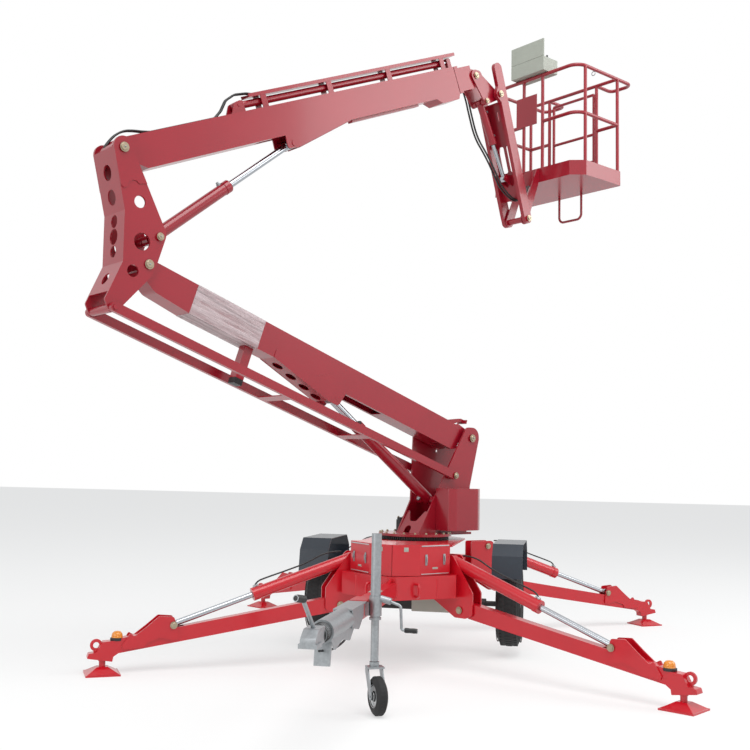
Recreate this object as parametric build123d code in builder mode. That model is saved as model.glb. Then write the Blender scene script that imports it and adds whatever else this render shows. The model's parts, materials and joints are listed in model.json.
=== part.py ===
from build123d import *
import math
import os

# Towable articulating boom lift, standing on its four outriggers.
# X runs across the trailer, Y along it with the drawbar towards -Y, and Z up from the ground.
# Millimetres and degrees.  The pieces are drawn about the slew axis and written SLEW_Y further on.

# ---------------------------------------------------------------- driving dimensions
SLEW_Y = 611            # from the middle of the whole machine's length to the slew axis
BOOM_TURN = 38.16       # heading of the booms' plane, from +Y towards +X

# Pins in the booms' plane: u out from the slew axis towards the cage, z up.
TURRET_PIN = (592, 1994)
BAR_FOOT = (311, 1632)
ELBOW_FOOT = (-2953, 3177)       # lower boom to knuckle
BAR_HEAD = (ELBOW_FOOT[0] + BAR_FOOT[0] - TURRET_PIN[0], ELBOW_FOOT[1] + BAR_FOOT[1] - TURRET_PIN[1])
ELBOW_HEAD = (-3202, 4030)       # knuckle to upper boom
LOWER_LIFT_FOOT = (163, 1397)
LOWER_LIFT_EYE = (-1044, 2283)
UPPER_LIFT_FOOT = (-2874, 3402)
UPPER_LIFT_EYE = (-1586, 4449)
HEAD_PIN = (650, 5662)           # inner boom to head bracket
JIB_PIN = (945, 5530)
JIB_LIFT_FOOT = (812, 5440)
JIB_LIFT_EYE = (1190, 4720)
CAGE_PIN = (1390, 4310)

LOWER_RISE = math.degrees(math.atan2(ELBOW_FOOT[1] - TURRET_PIN[1], TURRET_PIN[0] - ELBOW_FOOT[0]))
LOWER_LENGTH = math.dist(ELBOW_FOOT, TURRET_PIN)
UPPER_RISE = 23.62

# Half widths across the booms' plane, from the inside out.
INNER_BOOM_HALF = 78
BOOM_HALF = 100
TURRET_IN, TURRET_OUT = 133, 150
KNUCKLE_IN, KNUCKLE_OUT = 151, 168
BAR_IN, BAR_OUT = 176, 216       # tie bars, outside both pairs of cheeks
BAR_TIES = (1640, 2560)          # where the cross plates between the tie bars begin
BOSS_GAP = 4                     # a bearing boss stops this short of its cheek

# Outriggers: name, root pin (x, y) and heading from +X.
ARM_ROOT_Z = 505
OUTRIGGERS = (
    ("front_right", 550, -764, -30.92),
    ("front_left", -550, -764, 180 + 30.92),
    ("rear_right", 646, 1400, 36.0),
    ("rear_left", -646, 1400, 180 - 36.0),
)
ARM_WIDTH = 90
ARM_BARREL_PIN = (-134, 905)     # in the arm's plane: out from its root pin, and up
ARM_ROD_PIN = (1419, 375)
ARM_BARREL_LENGTH = 944
FOOT_REACH = 1968
FOOT_SIZE = 270

# Chassis
BEAM_LOW, BEAM_TOP = 610, 800
DECK_TOP = 1035
RING_RADIUS, RING_TOP = 300, 1072
WHEEL_X, WHEEL_Y, WHEEL_Z = 881, 100, 458
TYRE_RADIUS, TYRE_WIDTH = 370, 215
AXLE_RADIUS, RUN_GAP = 24, 0.5
FENDER_WIDTH, FENDER_WALL = 270, 6
FENDER_ARCH = ((-470, 735), (-440, 930), (-330, 1030), (330, 1030), (440, 930), (470, 735))
HOUSING_LOW, HOUSING_TOP = 803, 1058
DRAWBAR_Z = 700
COUPLING_REAR, COUPLING_NOSE = -2560, -3900

# Jockey wheel
JOCKEY_X, JOCKEY_Y = 112, -2480
JOCKEY_TUBE_TOP, JOCKEY_TUBE_LOW = 1220, 640
JOCKEY_WHEEL_RADIUS, JOCKEY_WHEEL_WIDTH = 130, 84
JOCKEY_HEADING, JOCKEY_TRAIL = -60, 85
JOCKEY_AXLE_Z = JOCKEY_WHEEL_RADIUS + 2

# Lower boom, in its own axis from the elbow's foot pin
LOWER_LOW, LOWER_TOP = -175, 72

# Upper boom, in its own axis from the elbow's head pin
UPPER_LOW, UPPER_TOP = -185, 83
UPPER_END = 3876
INNER_END = 4146
EXTENSION_PIN = (1240, 148)
EXTENSION_BARREL_END = 3826

# Cage, in the booms' axes
CAGE_NEAR, CAGE_DEPTH, CAGE_HALF = 1622, 719, 634
CAGE_FLOOR = 4752
TOE_HEIGHT = 155
RAIL_TOP = 5930
RAIL_MID = 5420
CAGE_CORNER = 120
RAIL_RADIUS = 19
LOOP_REACH = 260                 # how far the top rail stands out past the gate
GATE_HALF = 280

# ---------------------------------------------------------------- frames and small helpers
TURN = math.radians(BOOM_TURN)
BOOM = Plane(origin=(0, 0, 0), x_dir=(math.sin(TURN), math.cos(TURN), 0),
             z_dir=(math.cos(TURN), -math.sin(TURN), 0))
GROUND = Plane.XY


def in_boom(point, w=0):
    """Place a (u, z) point of the booms' plane, w towards the near side."""
    return BOOM.from_local_coords(Vector(point[0], point[1], w))


def along(foot, rise):
    """The plane of a boom: X along it at a rise in degrees, Y across it, Z to the near side."""
    angle = math.radians(rise)
    direction = BOOM.from_local_coords(Vector(math.cos(angle), math.sin(angle), 0))
    return Plane(origin=in_boom(foot), x_dir=direction, z_dir=BOOM.z_dir)


def between(foot, eye):
    """The plane of a lift cylinder of the booms, X from its foot pin to its rod's eye."""
    return along(foot, math.degrees(math.atan2(eye[1] - foot[1], eye[0] - foot[0])))


def on_edge(plane, start, end):
    """A plane that stands across another one on the line from start to end, Y along its normal."""
    start, end = (plane.from_local_coords(Vector(*point, 0)) for point in (start, end))
    direction = (end - start).normalized()
    return Plane(origin=start, x_dir=direction, z_dir=direction.cross(plane.z_dir))


def arm_plane(x, y, heading):
    """The upright plane of an outrigger: X out along the arm, Y up, origin on the ground."""
    angle = math.radians(heading)
    return Plane(origin=(x, y, 0), x_dir=(math.cos(angle), math.sin(angle), 0),
                 z_dir=(math.sin(angle), -math.cos(angle), 0))


def slab(plane, low, high, outline, holes=(), mode=Mode.ADD):
    """A flat plate between two offsets of a plane.

    Corners are (x, y), or (x, y, radius) where they are rounded, and holes are (x, y, radius).
    """
    with BuildSketch(plane.offset(low)) as face:
        with BuildLine():
            FilletPolyline(*[corner[:2] for corner in outline], close=True,
                           radius=[corner[2] if len(corner) > 2 else 0 for corner in outline])
        make_face()
        for x, y, radius in holes:
            with Locations((x, y)):
                Circle(radius, mode=Mode.SUBTRACT)
    extrude(face.sketch, amount=high - low, mode=mode)


def link(plane, low, high, rounds, holes=(), mode=Mode.ADD):
    """A plate whose outline wraps round discs (x, y, radius)."""
    with BuildSketch(plane.offset(low)) as face:
        for x, y, radius in rounds:
            with Locations((x, y)):
                Circle(radius)
        make_hull()
        for x, y, radius in holes:
            with Locations((x, y)):
                Circle(radius, mode=Mode.SUBTRACT)
    extrude(face.sketch, amount=high - low, mode=mode)


def pair(shape, plane, inside, outside, *args, **kwargs):
    """The same plate on both sides of a plane."""
    shape(plane, inside, outside, *args, **kwargs)
    shape(plane, -outside, -inside, *args, **kwargs)


def rod(start, end, radius, bore=0, mode=Mode.ADD):
    """A round bar or tube from one point to another."""
    start, end = Vector(start), Vector(end)
    with BuildSketch(Plane(origin=start, z_dir=end - start)) as disc:
        Circle(radius)
        if bore:
            Circle(bore, mode=Mode.SUBTRACT)
    extrude(disc.sketch, amount=(end - start).length, mode=mode)


def bent(points, radius, bends):
    """A round bar of straight runs joined by arcs."""
    with BuildLine() as path:
        FilletPolyline(*points, radius=bends)
    with BuildSketch(Plane(origin=path.line @ 0, z_dir=path.line % 0)) as disc:
        Circle(radius)
    sweep(disc.sketch, path=path.line)


def cross_pin(plane, point, radius, half, bore=0, mode=Mode.ADD):
    """A pin, boss or bore across a plane at a local point."""
    rod(plane.from_local_coords(Vector(*point, -half)), plane.from_local_coords(Vector(*point, half)),
        radius, bore, mode)


def bosses(plane, point, radius, inside, outside, bore):
    """A bearing boss on each side of a boom, bored for its pin."""
    for low, high in ((inside - 1, outside), (-outside, -inside + 1)):
        rod(plane.from_local_coords(Vector(*point, low)), plane.from_local_coords(Vector(*point, high)),
            radius, bore)


def box(low, high, mode=Mode.ADD):
    """A block from its lowest to its highest corner."""
    size = [b - a for a, b in zip(low, high)]
    with Locations(tuple((a + b) / 2 for a, b in zip(low, high))):
        Box(*size, mode=mode)


def rectangle(x0, x1, y0, y1):
    return ((x0, y0), (x1, y0), (x1, y1), (x0, y1))


def cylinder_barrel(plane, length, radius, bore, eye, half, pin):
    """A cylinder's barrel along X from its foot pin, with the eye, the gland and the rod's bore."""
    def at(x):
        return plane.from_local_coords(Vector(x, 0, 0))
    cross_pin(plane, (0, 0), eye, half)
    rod(at(eye * 0.5), at(length), radius)
    rod(at(length - 55), at(length), radius + 4)
    rod(at(eye + 10), at(length + 1), bore, mode=Mode.SUBTRACT)
    cross_pin(plane, (0, 0), pin, max(half, radius) + 1, mode=Mode.SUBTRACT)


def cylinder_rod(plane, start, length, radius, eye, half):
    """The chromed rod inside that barrel, to its eye with the middle of the far pin in it."""
    rod(plane.from_local_coords(Vector(start, 0, 0)), plane.from_local_coords(Vector(length, 0, 0)), radius)
    cross_pin(plane, (length, 0), eye, half)


def stub_pins(plane, point, radius, inside, outside):
    """A pin's two ends, which leave the eye between them free."""
    for low, high in ((inside, outside), (-outside, -inside)):
        rod(plane.from_local_coords(Vector(*point, low)), plane.from_local_coords(Vector(*point, high)), radius)


def keep(name, piece):
    """Write one piece as its own STEP file."""
    placed = piece.part.moved(Location((0, SLEW_Y, 0)))
    placed.label = name
    export_step(placed, f"parts/{name}.step")


os.makedirs("parts", exist_ok=True)

# ---------------------------------------------------------------- chassis
BRACKET = ((-330, 600), (-330, 955, 20), (-82, 958, 44), (132, 655, 30), (132, 468, 36), (60, 440, 30),
           (-50, 440, 30), (-190, 520))

with BuildPart() as chassis_frame:
    # two beams meet in a bow at the drawbar
    for side in (1, -1):
        slab(GROUND, BEAM_LOW, BEAM_TOP, ((side * 30, -1240), (side * 490, -883), (side * 490, -700),
                                          (side * 30, -1060)))
        # side rails to the rear beam
        slab(GROUND, BEAM_LOW + 10, BEAM_TOP - 20, rectangle(side * 250, side * 350, -1000, 1330))
        # the towing eye on the bow, a bar bent to a D
        bow, out = Vector(side * 185, -1120, 0), Vector(side * 0.613, -0.79, 0)
        bent([bow + out * reach + Vector(0, 0, z) for reach, z in ((-8, 736), (60, 736), (60, 636), (-8, 636))],
             11, [26, 26])
    slab(GROUND, BEAM_LOW, BEAM_TOP, rectangle(-40, 40, -1240, -700))
    slab(GROUND, BEAM_LOW, BEAM_TOP, rectangle(-560, 560, 1320, 1460))
    slab(GROUND, BEAM_LOW, BEAM_TOP, rectangle(-480, 480, -800, -700))
    # the slew pedestal and its deck
    slab(GROUND, BEAM_LOW + 10, DECK_TOP - 15, ((-300, -300, 60), (300, -300, 60), (300, 300, 60), (-300, 300, 60)))
    slab(GROUND, DECK_TOP - 15, DECK_TOP, ((-430, -700), (430, -700), (430, 380, 30), (250, 620, 30),
                                           (-250, 620, 30), (-430, 380, 30)))
    # the drawbar
    slab(GROUND, DRAWBAR_Z - 55, DRAWBAR_Z + 55, rectangle(-45, 45, -2640, -1150))
    slab(GROUND, DRAWBAR_Z + 55, DRAWBAR_Z + 67, rectangle(-60, 60, -2550, -2320))
    slab(Plane.YZ, -8, 8, ((-1400, DRAWBAR_Z + 50), (-1235, DRAWBAR_Z + 50), (-1235, BEAM_TOP - 10)))
    # outrigger brackets, in pairs of plates
    for name, x, y, heading in OUTRIGGERS:
        plane = arm_plane(x, y, heading)
        pair(slab, plane, 52, 66, BRACKET)
        cross_pin(plane, (0, ARM_ROOT_Z), 20, 74)
        cross_pin(plane, ARM_BARREL_PIN, 20, 74)
keep("chassis_frame", chassis_frame)

for side, name in ((1, "housing_right"), (-1, "housing_left")):
    with BuildPart() as housing:
        slab(GROUND, HOUSING_LOW, HOUSING_TOP, ((side * 2, -1215), (side * 212, -1085, 14), (side * 432, -830, 14),
                                                (side * 418, -784), (side * 292, -708), (side * 2, -708)))
    keep(name, housing)

with BuildPart() as slew_ring:
    rod((0, 0, DECK_TOP), (0, 0, RING_TOP - 2), RING_RADIUS, 215)
keep("slew_ring", slew_ring)

with BuildPart() as pump_box:
    box((60, -520, 440), (400, -180, 600))
keep("pump_box", pump_box)

with BuildPart() as axle:
    box((-660, WHEEL_Y - 40, 380), (660, WHEEL_Y + 40, 460))
    for side in (1, -1):
        rod((side * 640, WHEEL_Y, WHEEL_Z), (side * (WHEEL_X + 55), WHEEL_Y, WHEEL_Z), AXLE_RADIUS)
        box((side * 300 - 50, WHEEL_Y - 45, 460), (side * 300 + 50, WHEEL_Y + 45, BEAM_LOW + 10))
        # the swing arm carries the stub above the beam's end
        slab(Plane.YZ, side * 640 - 20, side * 640 + 20, ((WHEEL_Y - 60, 370, 20), (WHEEL_Y + 60, 370, 20),
                                                        (WHEEL_Y + 60, 500, 40), (WHEEL_Y - 60, 500, 40)))
keep("axle", axle)

with BuildPart() as fenders:
    for side in (1, -1):
        inner = [(y * 0.985, z - FENDER_WALL * (z > 800)) for y, z in reversed(FENDER_ARCH)]
        slab(Plane.YZ, side * WHEEL_X - FENDER_WIDTH / 2, side * WHEEL_X + FENDER_WIDTH / 2,
             [(WHEEL_Y + y, z) for y, z in (*FENDER_ARCH, *inner)])
keep("fenders", fenders)

for side, name in ((1, "right"), (-1, "left")):
    centre = Vector(side * WHEEL_X, WHEEL_Y, WHEEL_Z)
    section_plane = Plane(origin=centre, x_dir=(side, 0, 0), z_dir=(0, -side, 0))
    half = TYRE_WIDTH / 2
    with BuildPart() as tyre:
        with BuildSketch(section_plane) as section:
            with BuildLine():
                Polyline((-half + 18, 195), (-half, 250), (-half + 4, 310), (-half + 30, 362),
                         (-half + 60, TYRE_RADIUS), (half - 60, TYRE_RADIUS), (half - 30, 362),
                         (half - 4, 310), (half, 250), (half - 18, 195), close=True)
            make_face()
        revolve(section.sketch, Axis(centre, (1, 0, 0)))
    keep(f"tyre_{name}", tyre)
    with BuildPart() as rim:
        with BuildSketch(section_plane) as section:
            with BuildLine():
                Polyline((-85, 194.9), (-85, 172), (10, 172), (22, 60), (22, AXLE_RADIUS + RUN_GAP),
                         (38, AXLE_RADIUS + RUN_GAP), (38, 75), (26, 180), (85, 180), (85, 194.9), close=True)
            make_face()
        revolve(section.sketch, Axis(centre, (1, 0, 0)))
    keep(f"rim_{name}", rim)

# ---------------------------------------------------------------- coupling and jockey wheel
with BuildPart() as coupling:
    # the mounting channel on the drawbar's end, with its flanges turned in at the front
    box((-66, -3010, DRAWBAR_Z + 56), (66, COUPLING_REAR, DRAWBAR_Z + 64))
    for side in (1, -1):
        slab(Plane.YZ, side * 62 - 4, side * 62 + 4, ((-3010, DRAWBAR_Z - 55), (-3010, DRAWBAR_Z + 60),
                                                      (-2660, DRAWBAR_Z + 60), (-2660, DRAWBAR_Z - 20, 40),
                                                      (-2800, DRAWBAR_Z - 90, 60)))
        # lobed plates carry the overrun tube
        slab(Plane.YZ, side * 50 - 4, side * 50 + 4, ((-3540, DRAWBAR_Z + 20), (-3540, DRAWBAR_Z - 60),
                                                      (-3440, DRAWBAR_Z - 125, 50), (-3240, DRAWBAR_Z - 90, 60),
                                                      (-3020, DRAWBAR_Z - 130, 60), (-2850, DRAWBAR_Z - 40, 30),
                                                      (-2850, DRAWBAR_Z + 20)))
    rod((0, -3562, DRAWBAR_Z), (0, -2670, DRAWBAR_Z), 44)
    rod((0, -3560, DRAWBAR_Z), (0, -2980, DRAWBAR_Z), 72)
    # the bellows
    for fold in range(5):
        rod((0, -3682 + fold * 26, DRAWBAR_Z), (0, -3664 + fold * 26, DRAWBAR_Z), 58)
    rod((0, -3690, DRAWBAR_Z), (0, -3555, DRAWBAR_Z), 50)
    # the head with its skirt round the ball
    slab(Plane.YZ, -46, 46, ((COUPLING_NOSE, DRAWBAR_Z - 40), (COUPLING_NOSE, DRAWBAR_Z + 5, 30),
                             (-3820, DRAWBAR_Z + 55, 30), (-3680, DRAWBAR_Z + 55), (-3680, DRAWBAR_Z - 40)))
    box((-56, COUPLING_NOSE, DRAWBAR_Z - 46), (56, -3780, DRAWBAR_Z - 20))
    rod((0, -3840, DRAWBAR_Z - 47), (0, -3840, DRAWBAR_Z + 10), 25.5, mode=Mode.SUBTRACT)
    # the lever that frees the head, and its grip
    rod((0, -3760, DRAWBAR_Z + 45), (-35, -3900, DRAWBAR_Z + 230), 13)
    rod((-31, -3890, DRAWBAR_Z + 228), (-60, -3960, DRAWBAR_Z + 240), 20)
    # the foot plate that hangs below the tube
    slab(Plane.YZ, -50, 50, ((-3556, 500), (-3540, 500), (-3500, DRAWBAR_Z - 50), (-3530, DRAWBAR_Z - 50)))
keep("coupling", coupling)

with BuildPart() as jockey_tube:
    foot, top = (JOCKEY_X, JOCKEY_Y, JOCKEY_TUBE_LOW), (JOCKEY_X, JOCKEY_Y, JOCKEY_TUBE_TOP)
    rod(foot, top, 35, 31)
    rod(top, (JOCKEY_X, JOCKEY_Y, JOCKEY_TUBE_TOP + 4), 35)
    rod((JOCKEY_X, JOCKEY_Y, JOCKEY_TUBE_LOW - 8), (JOCKEY_X, JOCKEY_Y, JOCKEY_TUBE_LOW + 8), 42, 31)
    # the clamp round the tube, to the drawbar's side
    rod((JOCKEY_X, JOCKEY_Y, DRAWBAR_Z - 40), (JOCKEY_X, JOCKEY_Y, DRAWBAR_Z + 95), 44, 34)
    box((45, JOCKEY_Y - 30, DRAWBAR_Z - 40), (72, JOCKEY_Y + 30, DRAWBAR_Z + 50))
    # the side crank
    rod((JOCKEY_X + 36, JOCKEY_Y, 778), (JOCKEY_X + 110, JOCKEY_Y - 5, 760), 24)
    bent([(JOCKEY_X + 90, JOCKEY_Y - 4, 765), (292, JOCKEY_Y - 10, 735), (300, JOCKEY_Y - 10, 572),
          (330, JOCKEY_Y - 10, 570)], 10, [28, 16])
    rod((322, JOCKEY_Y - 10, 570), (412, JOCKEY_Y - 10, 568), 15)
keep("jockey_tube", jockey_tube)

with BuildPart() as jockey_leg:
    rod((JOCKEY_X, JOCKEY_Y, 352), (JOCKEY_X, JOCKEY_Y, 930), 28)
    rod((JOCKEY_X, JOCKEY_Y, 300), (JOCKEY_X, JOCKEY_Y, 352), 12)
keep("jockey_leg", jockey_leg)

heading = math.radians(JOCKEY_HEADING)
TRAIL = Plane(origin=(JOCKEY_X, JOCKEY_Y, 0), x_dir=(math.cos(heading), math.sin(heading), 0),
              z_dir=(math.sin(heading), -math.cos(heading), 0))
JOCKEY_AXLE = (JOCKEY_TRAIL, JOCKEY_AXLE_Z)
with BuildPart() as jockey_fork:
    rod((JOCKEY_X, JOCKEY_Y, 318), (JOCKEY_X, JOCKEY_Y, 348), 34, 12.05)
    slab(TRAIL, -56, 56, ((-34, 306), (60, 306), (60, 318), (-34, 318)))
    rod((JOCKEY_X, JOCKEY_Y, 300), (JOCKEY_X, JOCKEY_Y, 320), 12.05, mode=Mode.SUBTRACT)
    pair(link, TRAIL, 48, 56, ((0, 292, 30), (*JOCKEY_AXLE, 26)))
    cross_pin(TRAIL, JOCKEY_AXLE, 8, 62)
keep("jockey_fork", jockey_fork)

with BuildPart() as jockey_wheel:
    centre = TRAIL.from_local_coords(Vector(*JOCKEY_AXLE, 0))
    half = JOCKEY_WHEEL_WIDTH / 2
    with BuildSketch(Plane(origin=centre, x_dir=TRAIL.z_dir, z_dir=TRAIL.x_dir)) as section:
        with BuildLine():
            Polyline((-half + 4, 8.05), (-half + 4, 30), (-20, 40), (-20, 62), (-half + 8, 70), (-half, 95),
                     (-half + 14, 122), (-20, JOCKEY_WHEEL_RADIUS), (20, JOCKEY_WHEEL_RADIUS),
                     (half - 14, 122), (half, 95), (half - 8, 70), (20, 62), (20, 40), (half - 4, 30),
                     (half - 4, 8.05), close=True)
        make_face()
    revolve(section.sketch, Axis(centre, TRAIL.z_dir))
keep("jockey_wheel", jockey_wheel)

# ---------------------------------------------------------------- outriggers
BEAM = ((60, 572), (60, 443, 30), (1850, 165), (1888, 138), (1894, 100), (2092, 131, 6), (2080, 168, 8),
        (2021, 175, 12), (1974, 257, 14), (1889, 262), (1850, 279))
EARS = ((1416, 440, 20), (1535, 449, 20), (1632, 368, 30), (1727, 295, 20), (1765, 318, 10), (1827, 219, 8),
        (1814, 195), (1651, 205, 20), (1625, 241, 15), (1522, 279, 40), (1429, 254, 20), (1376, 265, 15),
        (1383, 336, 30))
TIP_RING = (2021, 229)
for name, x, y, arm_heading in OUTRIGGERS:
    plane = arm_plane(x, y, arm_heading)
    half = ARM_WIDTH / 2
    with BuildPart() as arm:
        # the box beam with its tip, its root boss, and the ears of the cylinder's pin
        slab(plane, -half, half, BEAM)
        link(plane, -half, half, ((0, ARM_ROOT_Z, 52), (90, 503, 58)))
        cross_pin(plane, (0, ARM_ROOT_Z), 20.05, half + 1, mode=Mode.SUBTRACT)
        slab(plane, -30, 30, rectangle(1330, 1520, 320, 500), mode=Mode.SUBTRACT)
        pair(slab, plane, half, half + 12, EARS)
        stub_pins(plane, ARM_ROD_PIN, 18, 30, half + 20)
        # the socket of the foot, and the lifting ring
        rod(plane.from_local_coords(Vector(FOOT_REACH, 104, 0)), plane.from_local_coords(Vector(FOOT_REACH, 150, 0)), 32)
        slab(plane, -10, 10, ((1960, 190), (2010, 150), (2040, 170), (2040, 190), (1990, 232)))
        with BuildSketch(plane.offset(-10)) as ring:
            with Locations(TIP_RING):
                Circle(48)
        extrude(ring.sketch, amount=20)
        cross_pin(plane, TIP_RING, 24, half + 1, mode=Mode.SUBTRACT)
    keep(f"arm_{name}", arm)

    pad_plane = Plane(origin=plane.from_local_coords(Vector(FOOT_REACH, 0, 0)), x_dir=plane.x_dir)
    with BuildPart() as foot:
        with BuildSketch(pad_plane) as base:
            Rectangle(FOOT_SIZE, FOOT_SIZE)
        extrude(base.sketch, amount=14)
        with BuildSketch(pad_plane.offset(14)) as low:
            Rectangle(FOOT_SIZE - 20, FOOT_SIZE - 20)
        with BuildSketch(pad_plane.offset(62)) as high:
            Rectangle(84, 84)
        loft([low.sketch.face(), high.sketch.face()])
        rod(pad_plane.origin + Vector(0, 0, 60), pad_plane.origin + Vector(0, 0, 103.9), 26)
    keep(f"foot_{name}", foot)

    lean = math.atan2(ARM_ROD_PIN[1] - ARM_BARREL_PIN[1], ARM_ROD_PIN[0] - ARM_BARREL_PIN[0])
    length = math.dist(ARM_ROD_PIN, ARM_BARREL_PIN)
    axis_plane = Plane(origin=plane.from_local_coords(Vector(*ARM_BARREL_PIN, 0)),
                       x_dir=plane.from_local_coords(Vector(math.cos(lean), math.sin(lean), 0)) - plane.origin,
                       z_dir=plane.z_dir)
    with BuildPart() as barrel:
        cylinder_barrel(axis_plane, ARM_BARREL_LENGTH, 52, 26, 45, 48, 20.05)
    keep(f"barrel_{name}", barrel)
    with BuildPart() as piston:
        cylinder_rod(axis_plane, 620, length, 25, 38, 26)
    keep(f"rod_{name}", piston)

# ---------------------------------------------------------------- turret
FRONT_FOOT, FRONT_TOP = (-104, RING_TOP + 10), (165, 1520)
FRONT_PLATE = ((0, -TURRET_IN), (248, -TURRET_IN), (248, -104), (140, -42, 34), (140, 42, 34), (248, 104),
               (248, TURRET_IN), (0, TURRET_IN), (0, 20), (92, 20, 38), (92, -60, 38), (0, -60))
REAR_EDGE = ((690, 2098, 90), (692, 1984), (573, 1530), (533, RING_TOP + 10))
with BuildPart() as turret:
    rod((0, 0, RING_TOP), (0, 0, RING_TOP + 22), 340)
    slab(BOOM, -TURRET_OUT, TURRET_OUT, ((-120, RING_TOP + 2), (600, RING_TOP + 2), (600, RING_TOP + 24),
                                         (-120, RING_TOP + 24)))
    # the near cheek leans, and the far one has an upright front edge
    slab(BOOM, TURRET_IN, TURRET_OUT, (FRONT_FOOT, FRONT_TOP, (522, 2098, 60), *REAR_EDGE))
    slab(BOOM, -TURRET_OUT, -TURRET_IN, (FRONT_FOOT, (64, 1394), (88, 2030, 40), (250, 2098, 60), *REAR_EDGE),
         holes=((400, 1867, 14),))
    # the front plate between the cheeks with its notch and arch, and the rear plate
    front = on_edge(BOOM, FRONT_FOOT, FRONT_TOP)
    slab(front, 0, 12, FRONT_PLATE)
    slab(BOOM, -TURRET_IN, TURRET_IN, ((521, RING_TOP + 10), (533, RING_TOP + 10), (571, 1500), (559, 1500)))
    cross_pin(BOOM, TURRET_PIN, 30, TURRET_OUT + 12)
    cross_pin(BOOM, LOWER_LIFT_FOOT, 25, TURRET_OUT + 1)
    for low, high in ((60, TURRET_IN + 1), (-TURRET_IN - 1, -60)):
        rod(in_boom(LOWER_LIFT_FOOT, low), in_boom(LOWER_LIFT_FOOT, high), 38)
    for low, high, radius in ((TURRET_OUT - 1, BAR_IN - 1, 34), (TURRET_OUT, BAR_OUT + 8, 20)):
        rod(in_boom(BAR_FOOT, low), in_boom(BAR_FOOT, high), radius)
        rod(in_boom(BAR_FOOT, -high), in_boom(BAR_FOOT, -low), radius)
keep("turret", turret)

with BuildPart() as turret_cover:
    cover_plane = Plane(origin=(0, 0, 1123), x_dir=BOOM.x_dir)
    slab(cover_plane, 0, 387, ((122, -152), (122, -320, 20), (190, -352, 60), (480, -352, 60), (570, -290, 60),
                               (615, -152)))
keep("turret_cover", turret_cover)

with BuildPart() as slew_motor:
    rod(in_boom((75, RING_TOP + 22.5), -285), in_boom((75, 1200), -285), 42)
    rod(in_boom((75, 1199), -285), in_boom((75, 1222), -285), 34)
keep("slew_motor", slew_motor)

# ---------------------------------------------------------------- lower boom, tie bars and knuckle
LOWER = along(ELBOW_FOOT, -LOWER_RISE)
LOWER_EYE = LOWER.to_local_coords(in_boom(LOWER_LIFT_EYE))
LOWER_EYE = (LOWER_EYE.X, LOWER_EYE.Y)
EYE_ROOM = 44                    # a cylinder's eye sits between bosses this far from the middle
BRACKET_ROOT, BRACKET_KNEE = (1330, -171), (2002, -303)
with BuildPart() as lower_boom:
    outline = ((-40, 52), (8, LOWER_TOP), (3399, LOWER_TOP), (3619, 64), (3619, -147), (3559, LOWER_LOW),
               (489, LOWER_LOW), (149, -151, 80), (-30, -58, 30), (-50, 0, 30))
    slab(LOWER, -BOOM_HALF, BOOM_HALF, outline)
    slab(LOWER, -BOOM_HALF + 8, BOOM_HALF - 8, rectangle(499, 3399, LOWER_LOW + 8, LOWER_TOP - 8), mode=Mode.SUBTRACT)
    link(LOWER, -BOOM_HALF, BOOM_HALF, ((LOWER_LENGTH, 0, 62), (3579, -7, 90)))
    slab(LOWER, -60, 60, rectangle(3399, 3900, -230, 57), mode=Mode.SUBTRACT)
    # the tapered bracket of the lift cylinder's eye, its perforated belly and the wavy doublers
    pair(slab, LOWER, BOOM_HALF - 12, BOOM_HALF, (BRACKET_ROOT, BRACKET_KNEE, (2120, -303, 30), (2165, -171)))
    belly = on_edge(LOWER, BRACKET_ROOT, BRACKET_KNEE)
    slab(belly, -8, 0, rectangle(4, 684, -BOOM_HALF + 10, BOOM_HALF - 10),
         holes=[(x, 0, 50) for x in (139, 301, 463, 614)])
    pair(slab, LOWER, BOOM_HALF - 0.1, BOOM_HALF + 5,
         ((1345, -177), (1340, -95, 35), (1560, -80, 50), (1680, -160, 50), (1800, -160, 60), (1960, -70, 60),
          (2165, -70, 20), (2165, -171), (2120, -303, 30), BRACKET_KNEE))
    for low, high, radius in ((EYE_ROOM, BOOM_HALF - 10, 38), (BOOM_HALF - 11, BOOM_HALF + 6, 25)):
        stub_pins(LOWER, LOWER_EYE, radius, low, high)
    # the belly is open over the cylinder, which rises into the boom near its limits
    slab(LOWER, -70, 70, rectangle(2030, 2640, LOWER_LOW - 1, LOWER_LOW + 9), mode=Mode.SUBTRACT)
    # the post that stands on the tie bars on the road
    slab(LOWER, -45, 45, rectangle(1085, 1165, -457, LOWER_LOW + 1))
    # the hook that carries the upper boom on the road
    slab(LOWER, -20, 20, ((3419, 68), (3619, 162), (3659, 178), (3709, 178), (3709, 150), (3659, 148), (3530, 60)))
    slab(LOWER, -60, 60, rectangle(3697, 3709, 140, 178))
    # bearing bosses out to the cheeks, and the bores of the two pins
    for point, reach in (((0, 0), KNUCKLE_IN - BOSS_GAP), ((LOWER_LENGTH, 0), TURRET_IN - BOSS_GAP)):
        bosses(LOWER, point, 55, BOOM_HALF, reach, 30.05)
        cross_pin(LOWER, point, 30.05, reach + 1, mode=Mode.SUBTRACT)
keep("lower_boom", lower_boom)

with BuildPart() as rest_pad:
    slab(LOWER, -45, 45, rectangle(1085, 1165, -507, -457.1))
keep("rest_pad", rest_pad)

WRAP_START, WRAP_END = 480, 1166
with BuildPart() as film_wrap:
    slab(LOWER, -BOOM_HALF - 2, BOOM_HALF + 2, rectangle(WRAP_START, WRAP_END, LOWER_LOW - 2, LOWER_TOP + 2))
    slab(LOWER, -BOOM_HALF, BOOM_HALF, rectangle(WRAP_START - 1, WRAP_END + 1, LOWER_LOW, LOWER_TOP),
         mode=Mode.SUBTRACT)
    slab(LOWER, -50, 50, rectangle(1080, WRAP_END + 1, LOWER_LOW - 3, LOWER_LOW + 1), mode=Mode.SUBTRACT)
keep("film_wrap", film_wrap)

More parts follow.
